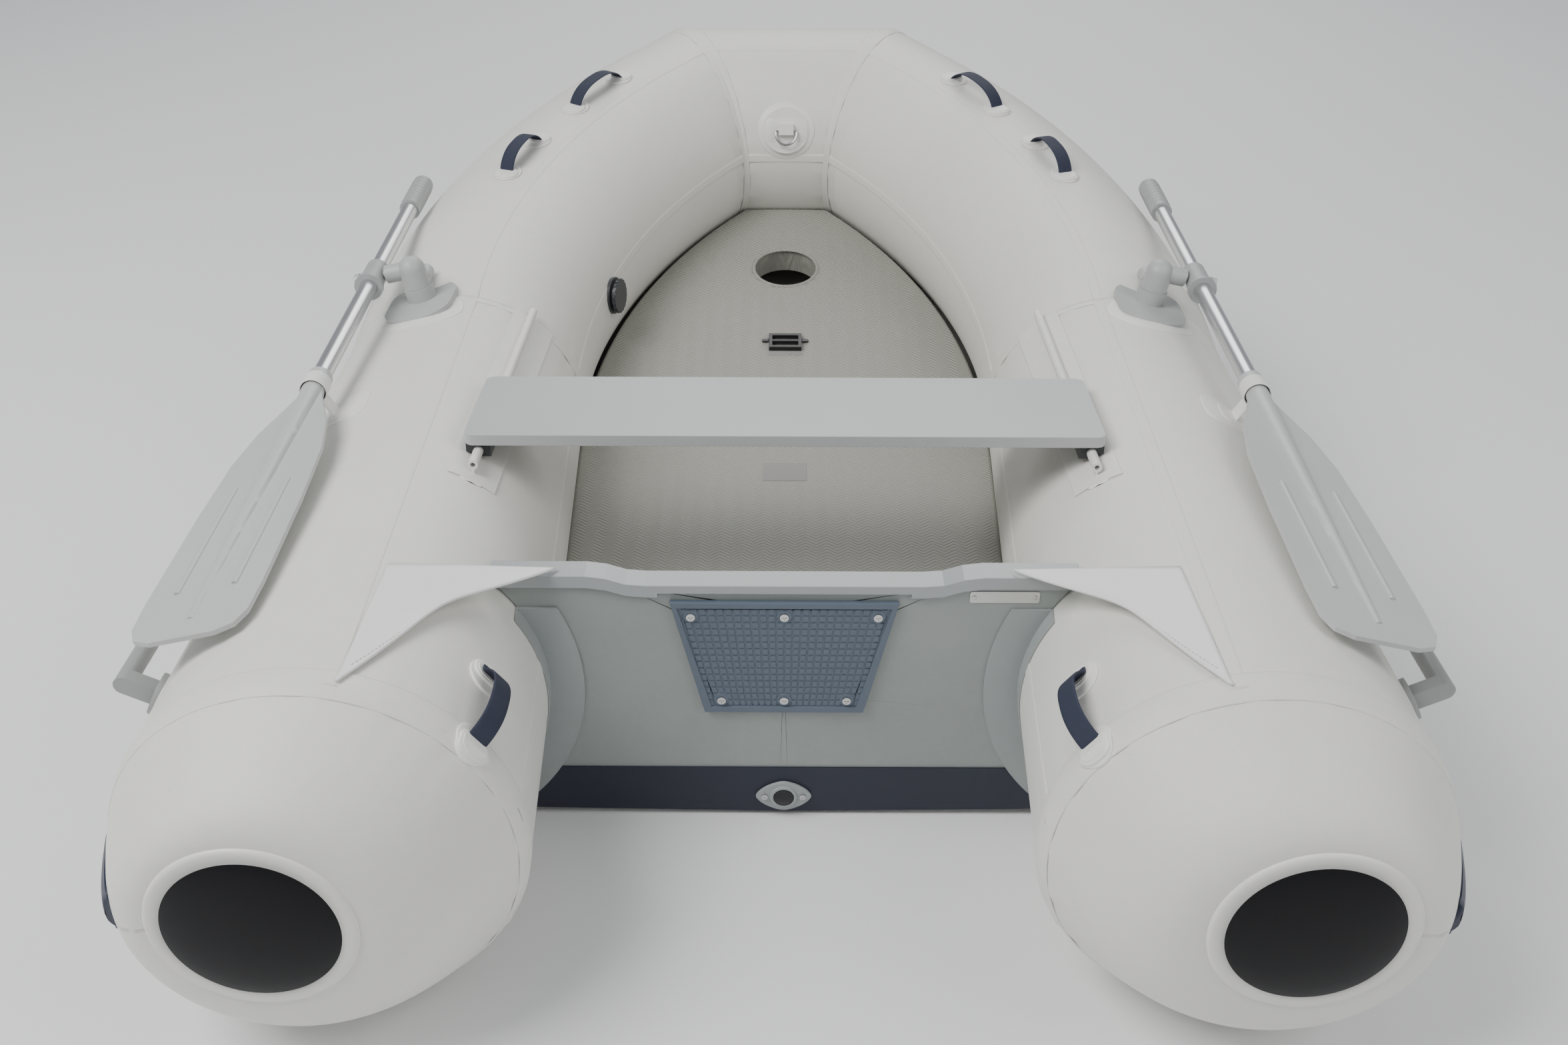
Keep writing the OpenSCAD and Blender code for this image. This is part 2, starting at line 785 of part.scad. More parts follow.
module transom_screws() {
    color(steel) {
        for (s = pad_screws) translate([s[0], y_transom - pad_t + 1.5, s[1]])
            rotate([-90, 0, 0]) screw(5.6, board_t + pad_t + 2);
        for (x = [-1, 1]) translate([x * 26, y_transom - 6 - 2 * gap, drain_z])
            rotate([-90, 0, 0]) screw(4.2, 4);
    }
}

drain_w = 76;
drain_h = 50;

module drain_flange() {
    color(pale_grey) translate([0, y_transom - 2 - 2 * gap, drain_z]) rotate([90, 0, 0])
        difference() {
            union() {
                intersection() {
                    scale([1, 1, 1]) linear_extrude(4) polygon([for (a = [0:10:350])
                        [drain_w / 2 * pow(abs(cos(a)), 1.3) * sign(cos(a)),
                         drain_h / 2 * pow(abs(sin(a)), 1.3) * sign(sin(a))]]);
                }
                cylinder(r = 18, h = 7, $fn = 64);
                translate([0, 0, -2 - 2 * gap - board_t + 1]) cylinder(r = 12.5,
                    h = board_t + 1 + 2 * gap, $fn = 48);
            }
            translate([0, 0, -board_t - 5]) cylinder(r = 10, h = board_t + 20, $fn = 48);
            translate([0, 0, 5]) cylinder(r = 14, h = 4, $fn = 64);
            for (x = [-1, 1]) translate([x * 26, 0, -1]) cylinder(r = 2.2, h = 8, $fn = 24);
        }
}

// The flap hangs from its top edge inside the flange's recess.
module drain_flap() {
    color(black) translate([0, y_transom - 2 - 2 * gap - 5 - gap, drain_z])
        rotate([90, 0, 0]) union() {
            cylinder(r = 13.6, h = 2.2, $fn = 64);
            intersection() {
                translate([0, 0, -34]) sphere(r = 38, $fn = 96);
                cylinder(r = 12, h = 6, $fn = 64);
            }
        }
}

module id_plate() {
    color(steel) translate([278, y_transom - gap, 366]) rotate([90, 0, 0]) {
        linear_extrude(0.8) polygon(round_rect(88, 17, 3));
        for (x = [-1, 1]) translate([x * 39, 0, 0]) cylinder(r = 2.5, h = 1.6, $fn = 24);
    }
}

// Fabric wings from the tubes' tops down to the transom's corners, each in one plane
flap_tip = [286, y_transom + 8, transom_h + 2.6];
flap_fwd = [475, y_transom - 60, top_z(475, y_transom - 60) + 2];
flap_aft = [478, y_seam + 4, top_z(478, y_seam + 4) + 2];

module splash_flap() {
    u = unit(flap_fwd - flap_tip);
    n = unit(cross(flap_aft - flap_tip, u));
    v = cross(n, u);
    l = norm(flap_fwd - flap_tip);
    a = [(flap_aft - flap_tip) * u, (flap_aft - flap_tip) * v];
    hem = [for (i = [1:6]) let (t = i / 7)
        [a[0] * (1 - t) + 14 * sin(180 * t), a[1] * (1 - t) + 26 * sin(180 * t)]];
    color(ivory) difference() {
        translate(flap_tip) multmatrix([[u[0], v[0], n[0], 0], [u[1], v[1], n[1], 0],
            [u[2], v[2], n[2], 0], [0, 0, 0, 1]]) linear_extrude(3)
            polygon(concat([[-6, 8], [l + 4, 12], [l + 16, 2], a + [12, 6], a], hem, [[-8, -6]]));
        side_blank(gap);
    }
}

module splash_flap_starboard() splash_flap();

module splash_flap_port() mirror([1, 0, 0]) splash_flap();

// ---- seat ----

// Frame at the aft end of the rail's bead
module on_rail() {
    translate([rail_x, rail_y0, rail_z0]) rotate([rail_pitch, 0, 0]) children();
}

seat_up = bead_d / 2 + bead_run + chan_wall;
seat_y = seat_in;

module seat_board() {
    color(pale_grey) on_rail() translate([-rail_x, seat_y + seat_w / 2, seat_up])
        linear_extrude(seat_t) polygon(round_rect(seat_l, seat_w, 14));
}

// Channels under the board's ends wrap round the beads.
module seat_channels() {
    r = bead_d / 2 + bead_run;
    color(dark_grey) pair() difference() {
        on_rail() translate([0, seat_y + 8, 0]) difference() {
            translate([-chan_w / 2, 0, -r - 1]) cube([chan_w, seat_w - 16, seat_up + r + 0.8]);
            translate([0, -1, 0]) rotate([-90, 0, 0]) cylinder(r = r, h = seat_w, $fn = 48);
            translate([-3, -1, -2 * r]) cube([6, seat_w, 2 * r]);
        }
        side_blank(3.5);
    }
}

// Rails: a hollow bead on a web that rises from a strip on the tube
module seat_rails() {
    web = 3;
    color(ivory) pair() {
        difference() {
            on_rail() difference() {
                union() {
                    rotate([-90, 0, 0]) cylinder(d = bead_d, h = rail_l, $fn = 48);
                    translate([-web / 2, 0, -bead_up - 8]) cube([web, rail_l, bead_up + 8]);
                }
                translate([0, -1, 0]) rotate([-90, 0, 0])
                    cylinder(d = bead_d / 2, h = rail_l + 2, $fn = 32);
            }
            side_blank(1);
        }
        intersection() {
            side_skin(0.5, 1.8);
            translate([rail_x - 30, rail_y0 - 20, r_bow]) cube([60, rail_l + 30, big]);
        }
    }
}

// ---- handles ----

function arch(l, h, n) = [for (i = [0:n]) let (u = i / n) [l * (u - 0.5), h * sin(180 * u)]];

// Webbing arch with flat feet, along Y, standing on the pads
module strap_arch(l) {
    n = 14;
    foot = 16;
    outer = arch(l, arch_h, n);
    inner = arch(l - 2 * strap_t, arch_h - strap_t, n);
    rotate([90, 0, 90]) translate([0, 0, -strap_w / 2]) linear_extrude(strap_w)
        polygon(concat([[-l / 2 - foot, 0], [-l / 2 - foot, strap_t], [-l / 2, strap_t]],
            [for (i = [1:n - 1]) outer[i]],
            [[l / 2, strap_t], [l / 2 + foot, strap_t], [l / 2 + foot, 0], [l / 2 - strap_t, 0]],
            [for (i = [n - 1:-1:1]) inner[i]], [[-l / 2 + strap_t, 0]]));
}

// Pads under a strap's feet, before they are hollowed to the tube
pad_h = 3;

module foot_pad(l) {
    for (s = [-1, 1]) translate([0, s * (l / 2 + 6), -6]) cylinder(r = 27, h = 6 + pad_h, $fn = 64);
}

bow_handle_t = [[20, 108], [32, 128]];
stern_handle_y = y_seam + 30;
stern_handle_a = 52;

module on_stern_handle() {
    on_side(stern_handle_y + 40, stern_handle_a) children();
}
stern_handle_l = 110;

module bow_handles() {
    color(navy) pair() for (h = bow_handle_t)
        on_quarter(h[0], -4) translate([0, 0, pad_h]) strap_arch(h[1]);
}

module stern_handles() {
    color(navy) pair() on_stern_handle() translate([0, 0, pad_h]) strap_arch(stern_handle_l);
}

module handle_pads() {
    color(ivory) pair() {
        for (h = bow_handle_t) difference() {
            on_quarter(h[0], -4) foot_pad(h[1]);
            quarter_bend_cut();
        }
        difference() {
            on_stern_handle() foot_pad(stern_handle_l);
            side_blank(gap);
        }
    }
}

// The bend of the quarter alone, for hollowing pads
module quarter_bend_cut() {
    in_bow() translate([tube_x - bend_r, stub, 0]) rotate_extrude(angle = bow_turn, $fn = 1440)
        translate([bend_r, 0]) circle(r = r_bow + gap, $fn = 480);
}

// Moulded carry handles on the outer sides
carry_y = y_seam + 230;
carry_a = -64;
carry_l = 150;

module carry_handles() {
    h = 52;
    color(pale_grey) pair() difference() {
        on_side(carry_y, carry_a) {
            for (s = [-1, 1]) translate([0, s * carry_l / 2, -6])
                cylinder(r = 26, h = 12, $fn = 64);
            for (s = [-1, 1]) translate([-12, s * carry_l / 2 - 9, 0]) cube([24, 18, h - 9]);
            translate([0, -carry_l / 2 - 9, h - 9]) rotate([-90, 0, 0])
                cylinder(r = 12, h = carry_l + 18, $fn = 48);
        }
        side_blank(gap);
    }
}

// D-ring on the inner side of the bow, in a fabric loop on a round patch
ring_a = 62;
ring_r = 21;
ring_wire = 5;

module bow_ring() {
    color(steel) on_bow(ring_a) translate([0, 0, 10]) rotate([0, 12, 0])
        translate([-2, 0, 0]) {
            translate([-6, 0, 0]) rotate([0, 0, 90]) rotate_extrude(angle = 180, $fn = 96)
                translate([ring_r, 0]) circle(d = ring_wire, $fn = 32);
            translate([0, ring_r, 0]) rotate([0, -90, 0]) cylinder(d = ring_wire, h = 6, $fn = 32);
            translate([0, -ring_r, 0]) rotate([0, -90, 0]) cylinder(d = ring_wire, h = 6, $fn = 32);
            translate([0, -ring_r, 0]) sphere(d = ring_wire, $fn = 32);
            translate([0, ring_r, 0]) sphere(d = ring_wire, $fn = 32);
            translate([0, -ring_r, 0]) rotate([-90, 0, 0]) cylinder(d = ring_wire, h = 2 * ring_r,
                $fn = 32);
        }
}

module bow_ring_loop() {
    color(ivory) on_bow(ring_a) difference() {
        union() {
            translate([0, 0, -4]) cylinder(r = 46, h = 7, $fn = 96);
            translate([-9, -15, 0]) cube([22, 30, 15]);
        }
        translate([0, 0, -r_bow]) rotate([90, 0, 0])
            cylinder(r = r_bow + gap, h = 200, center = true, $fn = 480);
        translate([-2 * cos(12), 0, 10 + 2 * sin(12)]) rotate([90, 0, 0])
            cylinder(d = ring_wire + 0.2, h = 60, center = true, $fn = 32);
    }
}

// ---- rowlocks and oars ----

module at_lock() {
    on_side(lock_s, -lock_a) children();
}

module rowlock_base() {
    color(pale_grey) difference() {
        at_lock() difference() {
            union() {
                translate([0, -14, -14]) linear_extrude(14 + plate_t)
                    polygon(round_rect(112, 150, 50));
                cylinder(r = 24, h = swivel_z - gap, $fn = 64);
                translate([-13, 0, 0]) cube([26, 40, 24]);
                translate([0, 36, 24]) rotate([-90, 0, 0]) cylinder(r = 13, h = 34, $fn = 48);
            }
            translate([0, 0, -4]) cylinder(d = stem_d + 2 * run_gap, h = 60, $fn = 64);
        }
        side_blank(gap);
        quarter_blank(gap);
    }
}

module rowlock_base_starboard() rowlock_base();

module rowlock_base_port() mirror([1, 0, 0]) rowlock_base();

module rowlock_swivel() {
    pin_end = oar_off + collar_d / 2 + 8;
    color(pale_grey) at_lock() union() {
        translate([0, 0, 1]) cylinder(d = stem_d, h = pin_h - 1, $fn = 64);
        translate([0, 0, swivel_z]) cylinder(r = 22, h = pin_h - swivel_z, $fn = 64);
        translate([0, 0, pin_h]) difference() {
            sphere(r = 22, $fn = 64);
            translate([-30, -30, -60]) cube([60, 60, 60]);
        }
        translate([0, 0, pin_h]) rotate([0, 90, 0]) cylinder(r = 15, h = oar_off - collar_d / 2
            - 4, $fn = 48);
        translate([0, 0, pin_h]) rotate([0, 90, 0]) cylinder(d = pin_d, h = pin_end, $fn = 64);
    }
}

module rowlock_swivel_starboard() rowlock_swivel();

module rowlock_swivel_port() mirror([1, 0, 0]) rowlock_swivel();

module rowlock_stopper() {
    color([0.85, 0.86, 0.86, 0.7]) at_lock()
        translate([oar_off + collar_d / 2 + 3, 0, pin_h]) rotate([0, 90, 0]) difference() {
            cylinder(r = 11, h = 8, $fn = 48);
            translate([0, 0, -1]) cylinder(d = pin_d, h = 6, $fn = 64);
        }
}

module rowlock_stoppers_starboard() rowlock_stopper();

module rowlock_stoppers_port() mirror([1, 0, 0]) rowlock_stopper();

// Frame of the oar: its origin on the pin, Y towards the grip
oar_yaw = 0;

module at_oar() {
    at_lock() translate([oar_off, 0, pin_h]) rotate([lean, 0, 0]) children();
}

module oar_shaft() {
    color([0.80, 0.81, 0.82]) at_oar() difference() {
        translate([0, -neck_y, 0]) rotate([-90, 0, 0])
            cylinder(d = shaft_d, h = neck_y + grip_y - 10, $fn = 64);
        translate([0, -neck_y - 1, 0]) rotate([-90, 0, 0])
            cylinder(d = shaft_d - 3, h = neck_y + grip_y + 2, $fn = 64);
        rotate([-lean, 0, 0]) rotate([0, 90, 0]) cylinder(d = pin_d + 2, h = 80, center = true,
            $fn = 48);
    }
}

module oar_shaft_starboard() oar_shaft();

module oar_shaft_port() mirror([1, 0, 0]) oar_shaft();

module oar_collar() {
    color(pale_grey) at_oar() difference() {
        union() {
            translate([0, -collar_l / 2, 0]) rotate([-90, 0, 0])
                cylinder(d = collar_d, h = collar_l, $fn = 64);
            translate([0, -collar_l / 2 - 8, 0]) rotate([-90, 0, 0])
                cylinder(d = collar_d + 8, h = 9, $fn = 64);
        }
        translate([0, -100, 0]) rotate([-90, 0, 0]) cylinder(d = shaft_d + 0.2, h = 200,
            $fn = 64);
        rotate([-lean, 0, 0]) rotate([0, 90, 0]) cylinder(d = pin_d + 2 * run_gap, h = 80,
            center = true, $fn = 64);
    }
}

module oar_collar_starboard() oar_collar();

module oar_collar_port() mirror([1, 0, 0]) oar_collar();

module oar_grip() {
    color(pale_grey) at_oar() difference() {
        union() {
            translate([0, grip_y - grip_l, 0]) rotate([-90, 0, 0])
                cylinder(d = grip_d, h = grip_l - 10, $fn = 64);
            translate([0, grip_y - 10, 0]) rotate([-90, 0, 0])
                cylinder(d1 = grip_d, d2 = grip_d - 12, h = 10, $fn = 64);
        }
        translate([0, grip_y - grip_l - 1, 0]) rotate([-90, 0, 0])
            cylinder(d = shaft_d + 0.2, h = grip_l - 8, $fn = 64);
    }
}

module oar_grip_starboard() oar_grip();

module oar_grip_port() mirror([1, 0, 0]) oar_grip();

// Blade: a flat paddle with a tapering spine and two ribs
function blade_half() = [
    [17, -neck_y + 36], [17, -neck_y - 20], [30, -neck_y - 60], [50, -neck_y - 120],
    [64, -neck_y - 200], [blade_w / 2 - 3, -neck_y - 330], [blade_w / 2, -blade_y + 90],
    [blade_w / 2 - 2, -blade_y + 34], [blade_w / 2 - 12, -blade_y + 10],
    [blade_w / 2 - 34, -blade_y]
];

module oar_blade() {
    half = blade_half();
    n = len(half);
    color(pale_grey) at_oar() difference() {
        union() {
            translate([0, 0, -3]) linear_extrude(6) polygon(concat(half,
                [for (i = [n - 1:-1:0]) [-half[i][0], half[i][1]]]));
            translate([0, -neck_y + 36, 0]) rotate([90, 0, 0])
                cylinder(d1 = shaft_d + 8, d2 = shaft_d + 4, h = 60, $fn = 64);
            translate([0, -neck_y - 24, 0]) rotate([90, 0, 0])
                cylinder(r1 = shaft_d / 2 + 2, r2 = 5, h = blade_y - neck_y - 60, $fn = 48);
            for (s = [-1, 1]) translate([s * blade_w / 4, -neck_y - 270, 2]) rotate([90, 0, 0])
                cylinder(r = 4, h = 240, $fn = 32);
        }
        translate([0, -neck_y, 0]) rotate([-90, 0, 0]) cylinder(d = shaft_d + 0.2, h = 60,
            $fn = 64);
    }
}

module oar_blade_starboard() oar_blade();

module oar_blade_port() mirror([1, 0, 0]) oar_blade();

// A hook-and-loop strap on a patch holds each oar by its blade's neck.
module oar_strap() {
    t = 2;
    r_in = shaft_d / 2 + 4.1;
    y = lock_s - neck_y + 12;
    color(ivory) {
        difference() {
            at_oar() translate([0, -neck_y + 22, 0]) rotate([90, 0, 0]) difference() {
                union() {
                    cylinder(r = r_in + t, h = 32, $fn = 64);
                    translate([-1.5, -pin_h - 20, 2]) cube([3, pin_h, 28]);
                }
                translate([0, 0, -1]) cylinder(r = r_in, h = 34, $fn = 64);
            }
            side_blank(1.5);
        }
        intersection() {
            side_skin(0.5, 1.8);
            translate([x_at(y) + 92, y - 4, r_at(y)])
                linear_extrude(big / 4) polygon(round_rect(104, 84, 14));
        }
    }
}

module oar_strap_starboard() oar_strap();

module oar_strap_port() mirror([1, 0, 0]) oar_strap();

// ---- lifelines ----

function unit(v) = v / norm(v);
function rope_point(p) =
    let (y = y_start + p[0], yy = min(y, y_start), a = p[1], r = r_at(yy) + p[2])
    [x_at(yy) + r * sin(a) - max(0, y - y_start) * 0.06, y,
     r_at(yy) + r * cos(a) + max(0, y - y_start) * 0.19];
function spline(p, k, t) =
    let (n = len(p), a = p[max(0, k - 1)], b = p[k], c = p[min(n - 1, k + 1)],
        d = p[min(n - 1, k + 2)])
    0.5 * (2 * b + (c - a) * t + (2 * a - 5 * b + 4 * c - d) * t * t
        + (3 * b - a - 3 * c + d) * t * t * t);

module sweep(path, d, sides) {
    n = len(path);
    pts = [for (i = [0:n - 1])
        let (t = unit(path[min(n - 1, i + 1)] - path[max(0, i - 1)]),
            u = unit(cross(t, [0, 0, 1])), v = cross(u, t))
        for (k = [0:sides - 1])
            path[i] + d / 2 * (cos(360 * k / sides) * u + sin(360 * k / sides) * v)];
    walls = [for (i = [0:n - 2]) for (k = [0:sides - 1])
        [i * sides + k, i * sides + (k + 1) % sides, (i + 1) * sides + (k + 1) % sides,
         (i + 1) * sides + k]];
    first = [for (k = [sides - 1:-1:0]) k];
    last = [for (k = [0:sides - 1]) (n - 1) * sides + k];
    polyhedron(points = pts, faces = concat(walls, [first, last]), convexity = 6);
}

module lifelines() {
    route = [for (p = rope_route) rope_point(p)];
    steps = 3;
    path = concat([for (k = [0:len(route) - 2]) for (s = [0:steps - 1])
        spline(route, k, s / steps)], [route[len(route) - 1]]);
    color(black) pair() sweep(path, rope_d, 10);
}

eye_fwd_t = 5.25;

module eye_body() {
    translate([0, 0, -4]) cylinder(r = 20, h = 7, $fn = 48);
    translate([-8, -4, 0]) cube([16, 8, 24]);
}

module lifeline_eyes() {
    aft = rope_route[len(rope_route) - 1];
    color(pale_grey) pair() {
        difference() {
            on_quarter(eye_fwd_t, -rope_route[0][1]) eye_body();
            quarter_bend_cut();
        }
        difference() {
            on_side(y_start + aft[0] - rope_d / 2 - 5, -aft[1]) eye_body();
            side_blank(gap);
        }
    }
}

tube_starboard();
tube_port();
cone_starboard();
cone_port();
quarter_starboard();
quarter_port();
bow_tube();
end_cap_starboard();
end_cap_port();
bulkheads();
rub_strakes();
bow_strake();
bottom_sheet();
keel_tube();
air_floor();
keel_valve();
keel_valve_cap();
inflation_valve();
inflation_valve_cap();
floor_buckle();
floor_strap();
transom_board();
transom_trim();
transom_holders();
transom_foot_strip();
motor_pad();
motor_pad_inner();
transom_screws();
drain_flange();
drain_flap();
id_plate();
splash_flap_starboard();
splash_flap_port();
seat_board();
seat_channels();
seat_rails();
bow_handles();
stern_handles();
handle_pads();
carry_handles();
bow_ring();
bow_ring_loop();
rowlock_base_starboard();
rowlock_base_port();
rowlock_swivel_starboard();
rowlock_swivel_port();
rowlock_stoppers_starboard();
rowlock_stoppers_port();
oar_shaft_starboard();
oar_shaft_port();
oar_collar_starboard();
oar_collar_port();
oar_grip_starboard();
oar_grip_port();
oar_blade_starboard();
oar_blade_port();
oar_strap_starboard();
oar_strap_port();
lifelines();
lifeline_eyes();
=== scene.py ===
# %% [markdown]
# # An inflatable dinghy in Blender
# The rigid frame of the boat, with its joints, comes ready from CAD. This lesson dresses it:
# inflated fabric, ropes, webbing, painted wood and moulded plastic. We work in metres, with
# +Y towards the bow, +X to starboard and the ground at Z = 0.

# %% Load the frame
import bpy, bmesh, json, math
import numpy as np
from mathutils import Matrix, Vector


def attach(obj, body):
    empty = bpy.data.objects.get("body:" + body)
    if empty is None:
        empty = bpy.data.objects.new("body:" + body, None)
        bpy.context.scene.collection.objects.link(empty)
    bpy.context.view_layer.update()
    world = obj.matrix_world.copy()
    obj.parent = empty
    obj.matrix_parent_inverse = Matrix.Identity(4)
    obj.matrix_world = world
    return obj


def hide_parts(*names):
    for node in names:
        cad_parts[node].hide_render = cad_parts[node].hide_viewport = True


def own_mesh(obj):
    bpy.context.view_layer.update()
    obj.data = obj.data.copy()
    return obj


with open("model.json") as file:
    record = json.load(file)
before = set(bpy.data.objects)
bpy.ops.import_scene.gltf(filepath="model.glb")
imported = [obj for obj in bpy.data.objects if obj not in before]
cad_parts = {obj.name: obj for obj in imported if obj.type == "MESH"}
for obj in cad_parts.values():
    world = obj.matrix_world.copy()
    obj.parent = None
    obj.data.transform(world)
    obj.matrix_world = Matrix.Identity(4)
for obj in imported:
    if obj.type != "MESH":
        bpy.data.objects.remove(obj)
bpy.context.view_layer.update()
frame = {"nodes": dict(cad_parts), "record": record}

# %% [markdown]
# ## Camera, floor and light
# A boat on a studio floor is shot from a standing person's height. The camera stands behind
# the stern and looks forward and down. Large soft area lights keep the white fabric readable.

# %% Camera
cam_data = bpy.data.cameras.new("camera")
cam_data.lens, cam_data.sensor_width = 36.93, 36.0
cam_data.clip_end = 60
camera = bpy.data.objects.new("camera", cam_data)
turn = Matrix.Rotation(math.radians(57.554), 4, "X") @ Matrix.Rotation(math.radians(0.236), 4, "Z")
camera.matrix_world = Matrix.Translation((-0.001, -2.3975, 1.533)) @ turn
bpy.context.scene.collection.objects.link(camera)
bpy.context.scene.camera = camera
print("camera height", camera.location.z)


# %% Floor and soft light
def grid_object(name, verts, faces, smooth=False):
    mesh = bpy.data.meshes.new(name)
    mesh.from_pydata([tuple(map(float, v)) for v in verts], [], [tuple(map(int, f)) for f in faces])
    mesh.validate()
    mesh.update()
    if smooth:
        mesh.shade_smooth()
    obj = bpy.data.objects.new(name, mesh)
    bpy.context.scene.collection.objects.link(obj)
    return obj


def soft_lamp(name, place, aim, size, watts):
    data = bpy.data.lights.new(name, "AREA")
    data.shape, data.size, data.energy = "SQUARE", size, watts
    lamp = bpy.data.objects.new(name, data)
    lamp.location = place
    lamp.rotation_euler = (Vector(aim) - Vector(place)).to_track_quat("-Z", "Y").to_euler()
    bpy.context.scene.collection.objects.link(lamp)
    return lamp


studio_floor = grid_object("studio_floor", [(-40, -40, 0), (40, -40, 0), (40, 40, 0), (-40, 40, 0)],
                           [(0, 1, 2, 3)])
lamps = [soft_lamp("key", (-2.6, -1.8, 4.2), (0, 0, 0.2), 2.6, 215),
         soft_lamp("fill", (3.4, -2.2, 3.4), (0, 0, 0.2), 3.0, 75),
         soft_lamp("rim", (0.5, 4.5, 3.6), (0, 0.3, 0.2), 3.0, 90)]
world = bpy.data.worlds.new("studio")
bpy.context.scene.world = world
world.use_nodes = True
world.node_tree.nodes["Background"].inputs[0].default_value = (0.92, 0.94, 1.0, 1)
world.node_tree.nodes["Background"].inputs[1].default_value = 0.36
print("lamps", len(lamps))

# %% [markdown]
# ## Finishes
# Coated fabric, moulded plastic and painted wood differ less in colour than in their fine
# surface: a weave, a grain, some dust. Each such effect is one node group, used by every
# material that shows it, so a change is made in one place.


# %% Node groups
def new_group(name, inputs, outputs):
    tree = bpy.data.node_groups.new(name, "ShaderNodeTree")
    for label, value in inputs:
        kind = "NodeSocketColor" if isinstance(value, tuple) else "NodeSocketFloat"
        tree.interface.new_socket(label, in_out="INPUT", socket_type=kind).default_value = value
    for label, kind in outputs:
        tree.interface.new_socket(label, in_out="OUTPUT", socket_type=kind)
    return tree, tree.nodes.new("NodeGroupInput"), tree.nodes.new("NodeGroupOutput")


def math_node(tree, op, a, b=None):
    node = tree.nodes.new("ShaderNodeMath")
    node.operation = op
    for socket, value in zip(node.inputs, (a, b)):
        if value is None:
            continue
        if isinstance(value, (int, float)):
            socket.default_value = value
        else:
            tree.links.new(value, socket)
    return node.outputs[0]


def mottled():
    """Colour that drifts a little over the surface, with soft dust and fine speckle."""
    tree, gin, gout = new_group("mottle", [("Colour", (0.8, 0.8, 0.8, 1)), ("Amount", 0.06),
                                           ("Scale", 6.0), ("Roughness", 0.45)],
                                [("Colour", "NodeSocketColor"), ("Roughness", "NodeSocketFloat")])
    coord = tree.nodes.new("ShaderNodeTexCoord")
    parts = []
    for scale, detail in ((1.0, 4.0), (14.0, 3.0)):
        noise = tree.nodes.new("ShaderNodeTexNoise")
        noise.inputs["Detail"].default_value = detail
        tree.links.new(math_node(tree, "MULTIPLY", gin.outputs["Scale"], scale), noise.inputs["Scale"])
        tree.links.new(coord.outputs["Object"], noise.inputs["Vector"])
        parts.append(math_node(tree, "SUBTRACT", noise.outputs["Fac"], 0.5))
    drift = math_node(tree, "ADD", parts[0], math_node(tree, "MULTIPLY", parts[1], 0.45))
    change = math_node(tree, "MULTIPLY", drift, gin.outputs["Amount"])
    hsv = tree.nodes.new("ShaderNodeHueSaturation")
    tree.links.new(math_node(tree, "ADD", math_node(tree, "MULTIPLY", change, 2.2), 1.0),
                   hsv.inputs["Value"])
    tree.links.new(gin.outputs["Colour"], hsv.inputs["Color"])
    tree.links.new(hsv.outputs["Color"], gout.inputs["Colour"])
    tree.links.new(math_node(tree, "ADD", gin.outputs["Roughness"],
                             math_node(tree, "MULTIPLY", change, 1.5)), gout.inputs["Roughness"])
    return tree


def woven():
    """Plain weave read from the piece's own UV map, which is in metres."""
    tree, gin, gout = new_group("weave", [("Pitch", 0.0011)], [("Height", "NodeSocketFloat")])
    uv = tree.nodes.new("ShaderNodeTexCoord")
    split = tree.nodes.new("ShaderNodeSeparateXYZ")
    tree.links.new(uv.outputs["UV"], split.inputs[0])
    waves = []
    for axis in (0, 1):
        phase = math_node(tree, "DIVIDE", split.outputs[axis], gin.outputs["Pitch"])
        waves.append(math_node(tree, "SINE", math_node(tree, "MULTIPLY", phase, 2 * math.pi)))
    tree.links.new(math_node(tree, "MULTIPLY", waves[0], waves[1]), gout.inputs["Height"])
    return tree


def zigzag():
    """Herringbone ridges on Object coordinates, as pressed into an air floor's top."""
    tree, gin, gout = new_group("herringbone", [("Pitch", 0.0085), ("Leg", 0.017), ("Lean", 0.8)],
                                [("Height", "NodeSocketFloat")])
    coord = tree.nodes.new("ShaderNodeTexCoord")
    split = tree.nodes.new("ShaderNodeSeparateXYZ")
    tree.links.new(coord.outputs["Object"], split.inputs[0])
    fold = math_node(tree, "PINGPONG", split.outputs[0], gin.outputs["Leg"])
    run = math_node(tree, "ADD", split.outputs[1], math_node(tree, "MULTIPLY", fold, gin.outputs["Lean"]))
    wave = math_node(tree, "SINE", math_node(tree, "MULTIPLY",
                     math_node(tree, "DIVIDE", run, gin.outputs["Pitch"]), 2 * math.pi))
    tree.links.new(math_node(tree, "MAXIMUM", wave, -0.3), gout.inputs["Height"])
    return tree


def grained():
    """Fine moulded or sprayed grain."""
    tree, gin, gout = new_group("grain", [("Scale", 900.0)], [("Height", "NodeSocketFloat")])
    coord = tree.nodes.new("ShaderNodeTexCoord")
    noise = tree.nodes.new("ShaderNodeTexNoise")
    noise.inputs["Detail"].default_value = 2.0
    tree.links.new(coord.outputs["Object"], noise.inputs["Vector"])
    tree.links.new(gin.outputs["Scale"], noise.inputs["Scale"])
    tree.links.new(noise.outputs["Fac"], gout.inputs["Height"])
    return tree


groups = {"mottle": mottled(), "weave": woven(), "herringbone": zigzag(), "grain": grained()}
print("groups", sorted(groups))


